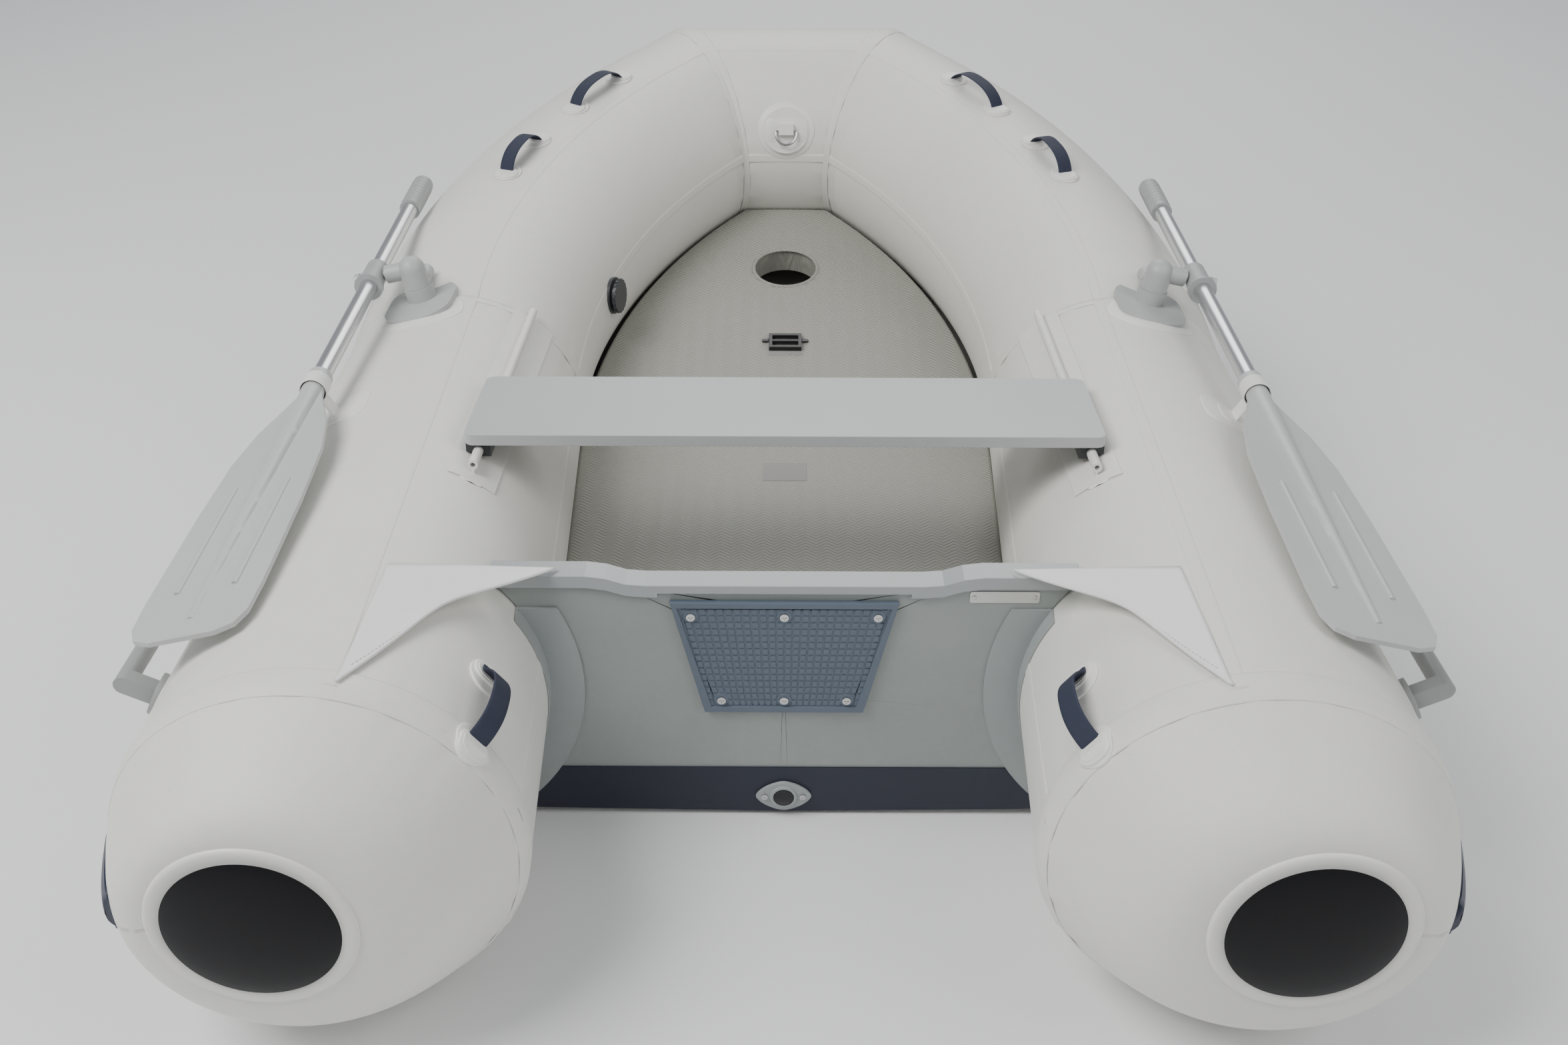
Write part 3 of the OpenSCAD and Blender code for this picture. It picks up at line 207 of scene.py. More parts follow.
# %% Materials
def finish(name, colour, rough, relief=None, depth=0.0, amount=0.06, scale=6.0, **sockets):
    mat = bpy.data.materials.new(name)
    mat.use_nodes = True
    tree = mat.node_tree
    shader = tree.nodes["Principled BSDF"]
    mottle = tree.nodes.new("ShaderNodeGroup")
    mottle.node_tree = groups["mottle"]
    for label, value in (("Colour", (*colour, 1)), ("Amount", amount), ("Scale", scale),
                         ("Roughness", rough)):
        mottle.inputs[label].default_value = value
    tree.links.new(mottle.outputs["Colour"], shader.inputs["Base Color"])
    tree.links.new(mottle.outputs["Roughness"], shader.inputs["Roughness"])
    if relief:
        group = tree.nodes.new("ShaderNodeGroup")
        group.node_tree = groups[relief[0]]
        for label, value in relief[1].items():
            group.inputs[label].default_value = value
        bump = tree.nodes.new("ShaderNodeBump")
        bump.inputs["Distance"].default_value = depth
        bump.inputs["Strength"].default_value = 1.0
        tree.links.new(group.outputs["Height"], bump.inputs["Height"])
        tree.links.new(bump.outputs["Normal"], shader.inputs["Normal"])
    for label, value in sockets.items():
        shader.inputs[label.replace("_", " ")].default_value = value
    return mat


WEAVE = ("weave", {"Pitch": 0.0014})
GRAIN = ("grain", {"Scale": 1200.0})
mats = {
    "hull_fabric": finish("hull_fabric", (0.78, 0.77, 0.72), 0.42, WEAVE, 0.00006, 0.05, 3.0,
                          Specular_IOR_Level=0.45),
    "patch_fabric": finish("patch_fabric", (0.83, 0.82, 0.78), 0.40, GRAIN, 0.0001, 0.04),
    "flap_fabric": finish("flap_fabric", (0.84, 0.84, 0.82), 0.38, WEAVE, 0.00005, 0.05),
    "rail_fabric": finish("rail_fabric", (0.80, 0.79, 0.75), 0.40, GRAIN, 0.0001, 0.05),
    "strap_fabric": finish("strap_fabric", (0.85, 0.84, 0.81), 0.55, WEAVE, 0.0001, 0.05),
    "floor_fabric": finish("floor_fabric", (0.33, 0.325, 0.285), 0.48, ("herringbone", {}), 0.0007, 0.06,
                           4.0),
    "bottom_fabric": finish("bottom_fabric", (0.40, 0.40, 0.38), 0.55, WEAVE, 0.0001),
    "cap_black": finish("cap_black", (0.006, 0.006, 0.007), 0.5, GRAIN, 0.00005, 0.08,
                        Specular_IOR_Level=0.2),
    "strake_navy": finish("strake_navy", (0.016, 0.022, 0.045), 0.42, GRAIN, 0.00008, 0.08),
    "stripe_white": finish("stripe_white", (0.78, 0.78, 0.76), 0.4, GRAIN, 0.00005),
    "valve_white": finish("valve_white", (0.74, 0.74, 0.70), 0.35, GRAIN, 0.00004),
    "valve_grey": finish("valve_grey", (0.055, 0.06, 0.065), 0.42, GRAIN, 0.00008),
    "buckle_black": finish("buckle_black", (0.01, 0.01, 0.011), 0.30),
    "webbing_grey": finish("webbing_grey", (0.30, 0.29, 0.275), 0.8, GRAIN, 0.0003),
    "board_paint": finish("board_paint", (0.30, 0.325, 0.31), 0.38, GRAIN, 0.00012, 0.07, 9.0),
    "trim_grey": finish("trim_grey", (0.36, 0.38, 0.38), 0.24, None, 0, 0.03),
    "holder_grey": finish("holder_grey", (0.33, 0.355, 0.35), 0.40, GRAIN, 0.0001),
    "strip_navy": finish("strip_navy", (0.014, 0.018, 0.035), 0.5, GRAIN, 0.0001),
    "pad_slate": finish("pad_slate", (0.105, 0.135, 0.175), 0.42, GRAIN, 0.00008),
    "screw_steel": finish("screw_steel", (0.62, 0.62, 0.61), 0.28, None, 0, 0.05, Metallic=1.0),
    "drain_grey": finish("drain_grey", (0.35, 0.37, 0.37), 0.40, GRAIN, 0.00006),
    "flap_rubber": finish("flap_rubber", (0.008, 0.008, 0.009), 0.22),
    "plate_metal": finish("plate_metal", (0.60, 0.60, 0.58), 0.30, None, 0, 0.05, Metallic=1.0),
    "seat_paint": finish("seat_paint", (0.47, 0.48, 0.475), 0.36, GRAIN, 0.0001, 0.05, 8.0),
    "seat_edge": finish("seat_edge", (0.20, 0.21, 0.21), 0.42, GRAIN, 0.0001, 0.08, 12.0),
    "channel_grey": finish("channel_grey", (0.035, 0.037, 0.04), 0.45, GRAIN, 0.0001),
    "webbing_navy": finish("webbing_navy", (0.018, 0.024, 0.05), 0.62, WEAVE, 0.00015),
    "carry_grey": finish("carry_grey", (0.34, 0.35, 0.34), 0.42, GRAIN, 0.0001),
    "ring_steel": finish("ring_steel", (0.62, 0.62, 0.60), 0.18, None, 0, 0.03, Metallic=1.0),
    "stopper_clear": finish("stopper_clear", (0.70, 0.72, 0.72), 0.18, None, 0, 0.02,
                            Transmission_Weight=0.35),
    "rowlock_grey": finish("rowlock_grey", (0.44, 0.45, 0.44), 0.42, GRAIN, 0.0001),
    "shaft_aluminium": finish("shaft_aluminium", (0.72, 0.72, 0.73), 0.30, None, 0, 0.04, 20.0,
                              Metallic=1.0),
    "oar_grey": finish("oar_grey", (0.36, 0.37, 0.365), 0.42, GRAIN, 0.0001),
    "blade_grey": finish("blade_grey", (0.50, 0.51, 0.50), 0.38, GRAIN, 0.0001, 0.04),
    "rope_black": finish("rope_black", (0.010, 0.010, 0.011), 0.7, GRAIN, 0.0002),
    "studio": finish("studio", (0.86, 0.86, 0.86), 0.6, None, 0, 0.0),
    "stitch_grey": finish("stitch_grey", (0.55, 0.55, 0.53), 0.7),
}
studio_floor.data.materials.append(mats["studio"])
slots = {row["node"]: row["material_slot"] for row in frame["record"]["subparts"]}
for node, obj in frame["nodes"].items():
    obj.data.materials.clear()
    obj.data.materials.append(mats[slots[node]])
print("materials", len(mats), "on", len(slots), "nodes")


# %% [markdown]
# ## One way to add a piece
# Every piece gets a mesh with its place in its vertices, a material, the CAD body it rides on
# and the CAD node it stands for. One helper does this, so no step is forgotten.


# %% The helper
def add_uv(obj, uvs):
    layer = obj.data.uv_layers.new(name="UVMap")
    index = np.zeros(len(obj.data.loops), int)
    obj.data.loops.foreach_get("vertex_index", index)
    layer.data.foreach_set("uv", np.asarray(uvs, float)[index].ravel())


def piece(name, verts, faces, slot, body="hull", stands_for=(), uvs=None, smooth=True):
    obj = grid_object(name, verts, faces, smooth)
    if uvs is not None:
        add_uv(obj, uvs)
    return dress(obj, slot, body, stands_for)


def dress(obj, slot, body="hull", stands_for=()):
    obj.data.materials.clear()
    obj.data.materials.append(mats[slot])
    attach(obj, body)
    if stands_for:
        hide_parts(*stands_for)
    return obj


def tube_faces(rows, ring, close_ring=True, caps=True):
    """Quads of a grid of rings, each of ring points, with its two ends closed."""
    k = np.arange(ring if close_ring else ring - 1)
    faces = []
    for i in range(rows - 1):
        a, b = i * ring + k, i * ring + (k + 1) % ring
        faces += [tuple(f) for f in np.stack([a, b, b + ring, a + ring], 1)]
    if caps:
        faces += [tuple(range(ring))[::-1], tuple(range((rows - 1) * ring, rows * ring))]
    return faces


def outward(obj):
    bm = bmesh.new()
    bm.from_mesh(obj.data)
    bmesh.ops.remove_doubles(bm, verts=bm.verts, dist=1e-6)
    bmesh.ops.recalc_face_normals(bm, faces=bm.faces)
    bm.to_mesh(obj.data)
    bm.free()
    return obj


# %% [markdown]
# ## The hull's shape as a rule
# A tender's hull is one long tube bent into a horseshoe: cone, tapering side tube, mitre,
# curved bow quarter, mitre and short bow tube. We write its surface as one function of the
# place along the tube, the angle round it and a distance off it. The skin, the seam tapes and
# the rub strake all come from it, so they fit each other exactly.

# %% Sizes of the hull
BOW_R, STERN_R = 0.206, 0.236
TUBE_X, SEAM_X = 0.557, 0.526
Y_START, Y_SEAM, Y_CAP = 0.086207, -1.050, -1.202
BEND_R, BOW_TURN, BOW_HALF = 1.280, math.radians(40), 0.180
RISE = math.radians(11)
STUB, ARC_X, STRAIGHT, BOW_RUN = 0.021836, 0.257537, 0.120626, 0.937009
CAP_X, CAP_Z, CAP_R, CONE_L = 0.558, 0.266, 0.107, 0.152
MITRE = (math.pi / 2 - BOW_TURN) / 2


def r_at(y):
    return BOW_R + (STERN_R - BOW_R) * (Y_START - y) / (Y_START - Y_SEAM)


def x_at(y):
    return TUBE_X + (SEAM_X - TUBE_X) * (Y_START - y) / (Y_START - Y_SEAM)


def from_bow(p):
    """From the rising bow plane's own coordinates to the row frame."""
    c, s = math.cos(RISE), math.sin(RISE)
    return np.stack([p[..., 0], Y_START + c * p[..., 1] - s * p[..., 2],
                     BOW_R + s * p[..., 1] + c * p[..., 2]], -1)


def surface(part, t, phi, off=0.0):
    """Points on the starboard hull. t is metres along the part; phi runs from outboard upwards."""
    phi = np.asarray(phi, float)
    out, up = np.cos(phi), np.sin(phi)
    if part == "cone":
        u = np.clip(t / CONE_L, 0, 1)
        k = 2 / math.pi * math.asin(u)
        w = 1 - (1 - k) ** 0.75
        r = STERN_R - (STERN_R - CAP_R) * w + off
        zero = 0 * out
        return np.stack([SEAM_X + (CAP_X - SEAM_X) * k + r * out, Y_SEAM - t + zero,
                         STERN_R + (CAP_Z - STERN_R) * w + r * up], -1)
    if part == "side":
        lean = math.tan(RISE / 2) * np.clip(1 - (Y_START - t) / 0.35, 0, 1)
        r = r_at(t) + off
        y = t - lean * r * up
        r = r_at(y) + off
        return np.stack([x_at(y) + r * out, y, r_at(y) + r * up], -1)
    r = BOW_R + off
    zero = 0 * out
    if part == "stub":
        lean = math.tan(RISE / 2) * (1 - t / STUB)
        return from_bow(np.stack([TUBE_X + r * out, t + lean * r * up, r * up], -1))
    if part == "arc":
        reach = BEND_R + r * out
        return from_bow(np.stack([TUBE_X - BEND_R + reach * math.cos(t), STUB + reach * math.sin(t),
                                  r * up], -1))
    if part == "straight":
        ahead = t + math.tan(MITRE) * r * out * t / STRAIGHT
        c, s = math.cos(BOW_TURN), math.sin(BOW_TURN)
        return from_bow(np.stack([ARC_X - s * ahead + c * r * out,
                                  STUB + BEND_R * s + c * ahead + s * r * out, r * up], -1))
    x = (BOW_HALF - t) + math.tan(MITRE) * r * out * (1 - t / BOW_HALF)
    return from_bow(np.stack([x, BOW_RUN + r * out + zero, r * up], -1))


print("stern radius", r_at(Y_SEAM), "bow radius", r_at(Y_START))


# %% [markdown]
# ## The inflated skin
# Air pressure pulls the fabric tight, so the skin is smooth except beside the mitres, where
# the cloth is eased into the seam and small puckers run out from it. We lay rings along the
# rule above, push them in and out a little near each seam, and mirror the row of rings.

# %% Rings along the hull
def stations():
    rows = [("cone", t) for t in CONE_L * np.sin(np.linspace(math.pi / 2, 0.06, 22))]
    rows += [("side", t) for t in np.linspace(Y_SEAM, Y_START - 0.001, 90)]
    rows += [("stub", t) for t in (0.001, 0.011)]
    rows += [("arc", t) for t in np.linspace(0, BOW_TURN, 70)]
    rows += [("straight", t) for t in np.linspace(0.012, STRAIGHT - 0.001, 10)]
    return rows + [("bow", t) for t in np.linspace(0.001, BOW_HALF, 14)]


def seam_distance(part, t):
    """Metres to the nearest cross seam."""
    return {"cone": t, "side": min(t - Y_SEAM, Y_START - t), "stub": t,
            "arc": min(STUB + BEND_R * t, STRAIGHT + BEND_R * (BOW_TURN - t)),
            "straight": STRAIGHT - t, "bow": t}[part]


RING = 144
ring_angles = np.linspace(0, 2 * math.pi, RING, endpoint=False)


def skin_row(part, t, base=0.0):
    near = math.exp(-seam_distance(part, t) / 0.035)
    inner = 0.5 - 0.5 * np.cos(ring_angles)
    puckers = near * inner * (0.0011 * np.sin(23 * ring_angles) + 0.0008 * np.sin(41 * ring_angles + 1.3))
    return surface(part, t, ring_angles, base + puckers - 0.0012 * near * inner)


def cumulative(points):
    step = np.linalg.norm(np.diff(points, axis=0), axis=1)
    return np.r_[0, np.cumsum(step)]


rows = [skin_row(*s) for s in stations()]
rows += [row * (-1, 1, 1) for row in rows[-2::-1]]
grid = np.array(rows)
along = cumulative(grid.mean(1))
uv = np.stack(np.meshgrid(along, ring_angles * BOW_R, indexing="ij"), -1).reshape(-1, 2)
cap_faces = tube_faces(len(rows), RING)
hull_skin = piece("hull_skin", grid.reshape(-1, 3), cap_faces, "hull_fabric", "hull",
                  ["tube_starboard", "tube_port", "cone_starboard", "cone_port",
                   "quarter_starboard", "quarter_port", "bow_tube"], uv)
bm = bmesh.new(); bm.from_mesh(hull_skin.data)
volume = bm.calc_volume(signed=True); bm.free()
if volume < 0:
    hull_skin.data.flip_normals()
print("hull length along the tube", round(along[-1], 3), "volume", round(volume, 3))

# %% [markdown]
# ## Walking on the hull
# Patches, handles and ropes are placed by how far along the tube and how far round it they
# are. This turns such an address into a point, and a patch is a small grid of addresses.

# %% Addresses on the hull
SIDE_L = Y_START - Y_SEAM
ARC_L = BEND_R * BOW_TURN


def hull_at(s, phi, off=0.0):
    """s: metres ahead of the start of the bow. phi: 0 outboard, 90 degrees on top."""
    if s < -SIDE_L:
        return surface("cone", -SIDE_L - s, phi, off)
    if s < 0:
        return surface("side", Y_START + s, phi, off)
    if s < STUB:
        return surface("stub", s, phi, off)
    if s < STUB + ARC_L:
        return surface("arc", (s - STUB) / BEND_R, phi, off)
    if s < STUB + ARC_L + STRAIGHT:
        return surface("straight", s - STUB - ARC_L, phi, off)
    return surface("bow", min(s - STUB - ARC_L - STRAIGHT, BOW_HALF), phi, off)


def tube_radius(s):
    return r_at(Y_START + max(s, -SIDE_L)) if s < 0 else BOW_R


def frame_at(s, phi, off=0.0):
    """Matrix whose X runs inboard round the tube, Y forward and Z off the surface."""
    p = hull_at(s, phi, off)
    z = Vector(hull_at(s, phi, off + 0.001) - p).normalized()
    y = Vector(hull_at(s + 0.002, phi, off) - hull_at(s - 0.002, phi, off)).normalized()
    x = y.cross(z).normalized()
    x = -x if x.dot(Vector(hull_at(s, phi + 0.01, off) - p)) < 0 else x
    y = (y - z * y.dot(z)).normalized()
    return Matrix((x, y, z)).transposed().to_4x4(), Vector(p)


def mirrored(points, side):
    return np.asarray(points, float) * (side, 1, 1)


SIDES = (("starboard", 1), ("port", -1))


def oval(w, l, n=40, power=2.0):
    a = np.linspace(0, 2 * math.pi, n, endpoint=False)
    c, s = np.cos(a), np.sin(a)
    return np.stack([w / 2 * np.sign(c) * np.abs(c) ** (2 / power),
                     l / 2 * np.sign(s) * np.abs(s) ** (2 / power)], -1)


def patch(name, s0, phi0, outline, thick, slot, side=1, base=0.0, twist=0.0, dish=0.0):
    """A welded patch that follows the hull. outline is (inboard, forward) in metres."""
    c, s = math.cos(twist), math.sin(twist)
    outline = np.asarray(outline) @ np.array([[c, s], [-s, c]])
    n, r = len(outline), tube_radius(s0)
    rings = [(1.0, -0.0006), (1.0, thick * 0.55), (0.988, thick * 0.9), (0.965, thick),
             (0.8, thick - dish * 0.6), (0.6, thick - dish), (0.35, thick - dish), (0.12, thick - dish)]
    points, uvs = [], []
    for scale, off in rings:
        for a, b in outline * scale:
            points.append(hull_at(s0 + b, phi0 + a / r, base + off))
            uvs.append((a, b))
    points.append(hull_at(s0, phi0, base + thick - dish)); uvs.append((0, 0))
    points.append(hull_at(s0, phi0, base - 0.0006)); uvs.append((0, 0))
    faces = tube_faces(len(rings), n, True, False)
    top, bottom = len(rings) * n, len(rings) * n + 1
    faces += [((len(rings) - 1) * n + i, (len(rings) - 1) * n + (i + 1) % n, top) for i in range(n)]
    faces += [((i + 1) % n, i, bottom) for i in range(n)]
    obj = piece(name, mirrored(points, side), faces, slot, "hull", (), uvs)
    return outward(obj)


print("side length", round(SIDE_L, 3))


# %% [markdown]
# ## Seams, tapes and the rub strake
# Where two panels meet, a tape is glued over the join. The rub strake is a hollow rubber
# moulding that fends off jetties, with a white stripe along its crown. Both are the same
# operation: a small closed outline carried along the hull.

# %% Carry an outline along the hull
def hull_band(name, outline, places, slot, stands_for=(), whole=False, side=1):
    """outline is a closed list of (angle, height off the tube); whole joins both sides."""
    phis, offs = np.array(outline).T
    rows = [hull_at(s, phis, offs) for s in places]
    if whole:
        rows += [row * (-1, 1, 1) for row in rows[-2::-1]]
    points = mirrored(np.array(rows).reshape(-1, 3), 1 if whole else side)
    size = cumulative(np.array(rows).mean(1))
    across = cumulative(np.array(rows)[0])
    uvs = np.stack(np.meshgrid(size, across, indexing="ij"), -1).reshape(-1, 2)
    obj = piece(name, points, tube_faces(len(rows), len(phis)), slot, "hull", stands_for, uvs)
    return outward(obj)


def flat_outline(phi0, phi1, high, n=9, low=-0.0006, crown=0.0):
    """A thin strip between two angles, with its edges rounded over."""
    u = np.linspace(0, 1, n)
    outer = [(phi0 + (phi1 - phi0) * v, low + (high - low) * min(1, 8 * v, 8 * (1 - v)) ** 0.5
              + crown * math.sin(math.pi * v)) for v in u]
    return outer + [(phi1, low - 0.0004), (phi0, low - 0.0004)]


def round_tape(name, s0, half, high, slot="patch_fabric", side=1):
    """A tape right round the tube at one place."""
    steps = [(-half, -0.0006), (-half, high * 0.7), (-half + 0.0015, high), (0, high),
             (half - 0.0015, high), (half, high * 0.7), (half, -0.0006)]
    rows = np.array([hull_at(s0 + ds, ring_angles, off) for ds, off in steps])
    points = mirrored(rows.reshape(-1, 3), side)
    uvs = [(ds, a * BOW_R) for ds, _ in steps for a in ring_angles]
    n = len(ring_angles)
    faces = tube_faces(len(steps), n, True, False)
    faces += [((len(steps) - 1) * n + k, (len(steps) - 1) * n + (k + 1) % n, (k + 1) % n, k)
              for k in range(n)]
    return outward(piece(name, points, faces, slot, "hull", (), uvs))


mitre_bow = STUB + ARC_L + STRAIGHT
for word, side in SIDES:
    round_tape(f"tape_quarter_{word}", 0.0005, 0.019, 0.0009, "hull_fabric", side)
    round_tape(f"tape_bow_{word}", mitre_bow, 0.019, 0.0009, "hull_fabric", side)
    round_tape(f"tape_cone_{word}", -SIDE_L + 0.006, 0.022, 0.0010, "hull_fabric", side)
along_places = ([-SIDE_L + x for x in np.linspace(0.001, SIDE_L - 0.001, 70)]
                + [STUB + x for x in np.linspace(-0.015, ARC_L, 40)]
                + [STUB + ARC_L + x for x in (0.03, 0.07, STRAIGHT - 0.001)]
                + [mitre_bow + x for x in np.linspace(0.001, BOW_HALF, 5)])
for label, angle in (("top", 100), ("inner", 168)):
    a = math.radians(angle)
    hull_band(f"lap_seam_{label}", flat_outline(a - 0.045, a + 0.045, 0.0006), along_places,
              "hull_fabric", whole=True)
strake_places = ([-SIDE_L - x for x in np.linspace(0.115, 0.004, 12)] + along_places)
half = 0.030 / 0.22


def strake_outline(high, half, n=13):
    u = np.linspace(-1, 1, n)
    crown = [(v * half, 0.0022 + (high - 0.0022) * max(0.0, 1 - (abs(v) / 0.72) ** 4) ** 0.5)
             for v in u]
    return crown + [(half, -0.0006), (-half, -0.0006)]


hull_band("rub_strake_navy", strake_outline(0.0078, half), strake_places, "strake_navy",
          ["rub_strakes", "bow_strake"], whole=True)
hull_band("strake_stripe", flat_outline(-0.026, 0.026, 0.0086, 7, 0.0070), strake_places,
          "stripe_white", whole=True)
print("tapes and strake done")

# %% [markdown]
# ## Stern caps
# Each cone ends in a moulded black cap with a rounded welt where it is glued to the fabric.
# A turned profile makes both: a dome, a small step and the welt ring.


# %% Turned pieces
def turned(name, profile, matrix, slot, body="hull", stands_for=(), n=64, side=1):
    """profile is (radius, height) from the middle of the top to the middle of the bottom."""
    rows = []
    a = np.linspace(0, 2 * math.pi, n, endpoint=False)
    for r, h in profile:
        rows.append(np.stack([max(r, 1e-5) * np.cos(a), max(r, 1e-5) * np.sin(a), 0 * a + h], -1))
    points = np.array(rows).reshape(-1, 3)
    points = np.array([(matrix @ Vector(p))[:] for p in points])
    obj = grid_object(name, mirrored(points, side), tube_faces(len(profile), n), True)
    outward(obj)
    return dress(obj, slot, body, stands_for)


def axis_matrix(origin, direction):
    return Matrix.Translation(origin) @ Vector(direction).to_track_quat("Z", "Y").to_matrix().to_4x4()


dome = [(CAP_R * math.sin(t), 0.0178 * (math.cos(t) - math.cos(1.35)) / (1 - math.cos(1.35)))
        for t in np.linspace(0, 1.35, 16)]
for word, side in SIDES:
    place = axis_matrix((CAP_X, Y_CAP, CAP_Z), (0, -1, 0))
    profile = [(r * 0.97, h) for r, h in dome]
    profile += [(CAP_R * 0.985, -0.001), (CAP_R * 0.9, -0.008), (0, -0.008)]
    turned(f"cap_{word}", profile, place, "cap_black", "hull", [f"end_cap_{word}"], side=side)
    welt = [(CAP_R + 0.001 + 0.0052 * math.cos(t), -0.001 + 0.0052 * math.sin(t))
            for t in np.linspace(math.pi / 2, -math.pi / 2, 9)]
    welt += [(CAP_R - 0.012, -0.0062), (CAP_R - 0.012, 0.0042)]
    a = np.linspace(0, 2 * math.pi, 96, endpoint=False)
    ring = np.array([[(r * math.cos(t), r * math.sin(t), h) for r, h in welt] for t in a]).reshape(-1, 3)
    ring = np.array([(place @ Vector(p))[:] for p in ring])
    m = len(welt)
    faces = [(i * m + k, i * m + (k + 1) % m, ((i + 1) % 96) * m + (k + 1) % m, ((i + 1) % 96) * m + k)
             for i in range(96) for k in range(m)]
    outward(piece(f"cap_welt_{word}", mirrored(ring, side), faces, "hull_fabric"))
print("caps done")

# %% [markdown]
# ## The air floor
# A drop-stitch floor is two sheets held parallel by thousands of threads, so it blows up flat,
# with round sides. It is one closed loop of points carried forward, wide where the tubes leave
# room, with a hole over the keel's valve.

# %% Air floor
FLOOR_Z, FLOOR_T = 0.070, 0.050
HOLE_AHEAD, HOLE_R = 0.530, 0.065


def half_chord(r, z):
    return math.sqrt(max(r * r - (r - z) ** 2, 0))


def floor_loop(y, width, crown=0.0012):
    """Closed loop across the floor: flat top with a slight crown, round sides."""
    k = np.linspace(-1, 1, 33)
    top = [(w * (width - 0.012), y, FLOOR_Z + FLOOR_T - 0.0005 + crown * (1 - w * w)) for w in k[::-1]]
    side = [(-(width - 0.012) - 0.0118 * math.sin(t), y, FLOOR_Z + FLOOR_T / 2 + FLOOR_T / 2 * math.cos(t))
            for t in np.linspace(0.25, math.pi - 0.25, 9)]
    bottom = [(w * (width - 0.012), y, FLOOR_Z + 0.0005) for w in k]
    return top + side + bottom + [(-x, y, z) for x, y, z in side[::-1]]


edge = half_chord(BOW_R, FLOOR_Z + FLOOR_T) + 0.0015
rows = []
for y in np.linspace(-0.678, Y_START - 0.02, 60):
    rows.append(np.array(floor_loop(y, x_at(y) - half_chord(r_at(y), FLOOR_Z + FLOOR_T) - 0.0015)))
ahead = np.r_[np.linspace(0.02, STUB + (BEND_R - edge) * math.sin(BOW_TURN), 70),
              np.linspace(STUB + (BEND_R - edge) * math.sin(BOW_TURN) + 0.004, BOW_RUN - edge - 0.002, 8)]
for t in ahead:
    arc_end = STUB + (BEND_R - edge) * math.sin(BOW_TURN)
    if t <= arc_end:
        width = TUBE_X - BEND_R + math.sqrt((BEND_R - edge) ** 2 - max(t - STUB, 0) ** 2)
    else:
        width = (TUBE_X - BEND_R + (BEND_R - edge) * math.cos(BOW_TURN)
                 - (t - arc_end) * math.tan(BOW_TURN))
    width *= 1 if t < ahead[-1] else 0.985
    loop = np.array(floor_loop(t, width))
    loop[:, 2] -= BOW_R
    rows.append(from_bow(loop))
grid = np.array(rows)
floor_obj = grid_object("air_floor_skin", grid.reshape(-1, 3), tube_faces(len(rows), grid.shape[1]), True)
outward(floor_obj)
hole = Vector(from_bow(np.array([0, HOLE_AHEAD, FLOOR_Z + FLOOR_T - BOW_R])))
tilt = Matrix.Translation(hole) @ Matrix.Rotation(RISE, 4, "X")
bpy.ops.mesh.primitive_cylinder_add(vertices=96, radius=HOLE_R, depth=0.3)
cutter = bpy.context.object
cutter.matrix_world = tilt
bpy.context.view_layer.update()
cut = floor_obj.modifiers.new("hole", "BOOLEAN")
cut.object, cut.operation, cut.solver = cutter, "DIFFERENCE", "EXACT"


def baked(obj):
    """The object's modified mesh put in its place, with the modifiers gone."""
    mesh = bpy.data.meshes.new_from_object(obj.evaluated_get(bpy.context.evaluated_depsgraph_get()))
    obj.modifiers.clear()
    obj.data = mesh
    return obj


bpy.context.view_layer.update()
baked(floor_obj)
bpy.data.objects.remove(cutter)
dress(floor_obj, "floor_fabric", "hull", ["air_floor"])
lip = [(HOLE_R - 0.001 + 0.0035 * math.cos(t), -0.0002 + 0.0028 * math.sin(t))
       for t in np.linspace(0, 2 * math.pi, 14, endpoint=False)]
a = np.linspace(0, 2 * math.pi, 96, endpoint=False)
ring = [tilt @ Vector((r * (1 + 0.004 * math.sin(17 * t)) * math.cos(t), r * math.sin(t), h))
        for t in a for r, h in lip]
m = len(lip)
outward(piece("floor_hole_lip", ring, [(i * m + k, i * m + (k + 1) % m, ((i + 1) % 96) * m + (k + 1) % m,
              ((i + 1) % 96) * m + k) for i in range(96) for k in range(m)], "floor_fabric"))
print("floor rows", len(rows))

# %% [markdown]
# ## Lifelines
# A lifeline is a braided rope tied between two moulded eyes. A knit or a particle braid would be
# heavy, so the strands are waves on the skin of a swept tube: two sets of ridges that wind
# opposite ways. The route is the rope's true path, so its length is the cord's real length.

# %% Lifelines
ROPE_D = 0.010
ROPE_ROUTE = [(118, 50, 13), (100, 52, 22), (60, 56, 24), (0, 61, 22), (-80, 66, 17), (-170, 70, 12),
              (-260, 72, 9), (-350, 72, 9), (-430, 70, 12), (-490, 67, 17), (-530, 64, 19),
              (-550, 62, 13)]


def rope_point(station, angle, lift):
    """Station ahead of the bow's start, angle outboard from the top, lift off the tube, in mm."""
    y = Y_START + station / 1000
    yy, a = min(y, Y_START), math.radians(angle)
    r = r_at(yy) + lift / 1000
    past = max(0, y - Y_START)
    return (x_at(yy) + r * math.sin(a) - past * 0.06, y, r_at(yy) + r * math.cos(a) + past * 0.19)


def smooth_path(points, steps):
    """Catmull-Rom curve through the points."""
    p = np.asarray(points, float)
    n, line = len(p), []
    for k in range(n - 1):
        a, b, c, d = p[max(0, k - 1)], p[k], p[k + 1], p[min(n - 1, k + 2)]
        for t in np.arange(steps) / steps:
            line.append(0.5 * (2 * b + (c - a) * t + (2 * a - 5 * b + 4 * c - d) * t * t
                               + (3 * b - a - 3 * c + d) * t ** 3))
    return np.array(line + [p[-1]])


def evenly(path, step):
    size = cumulative(path)
    places = np.linspace(0, size[-1], max(2, int(size[-1] / step)) + 1)
    return np.stack([np.interp(places, size, path[:, k]) for k in range(3)], -1), size[-1]


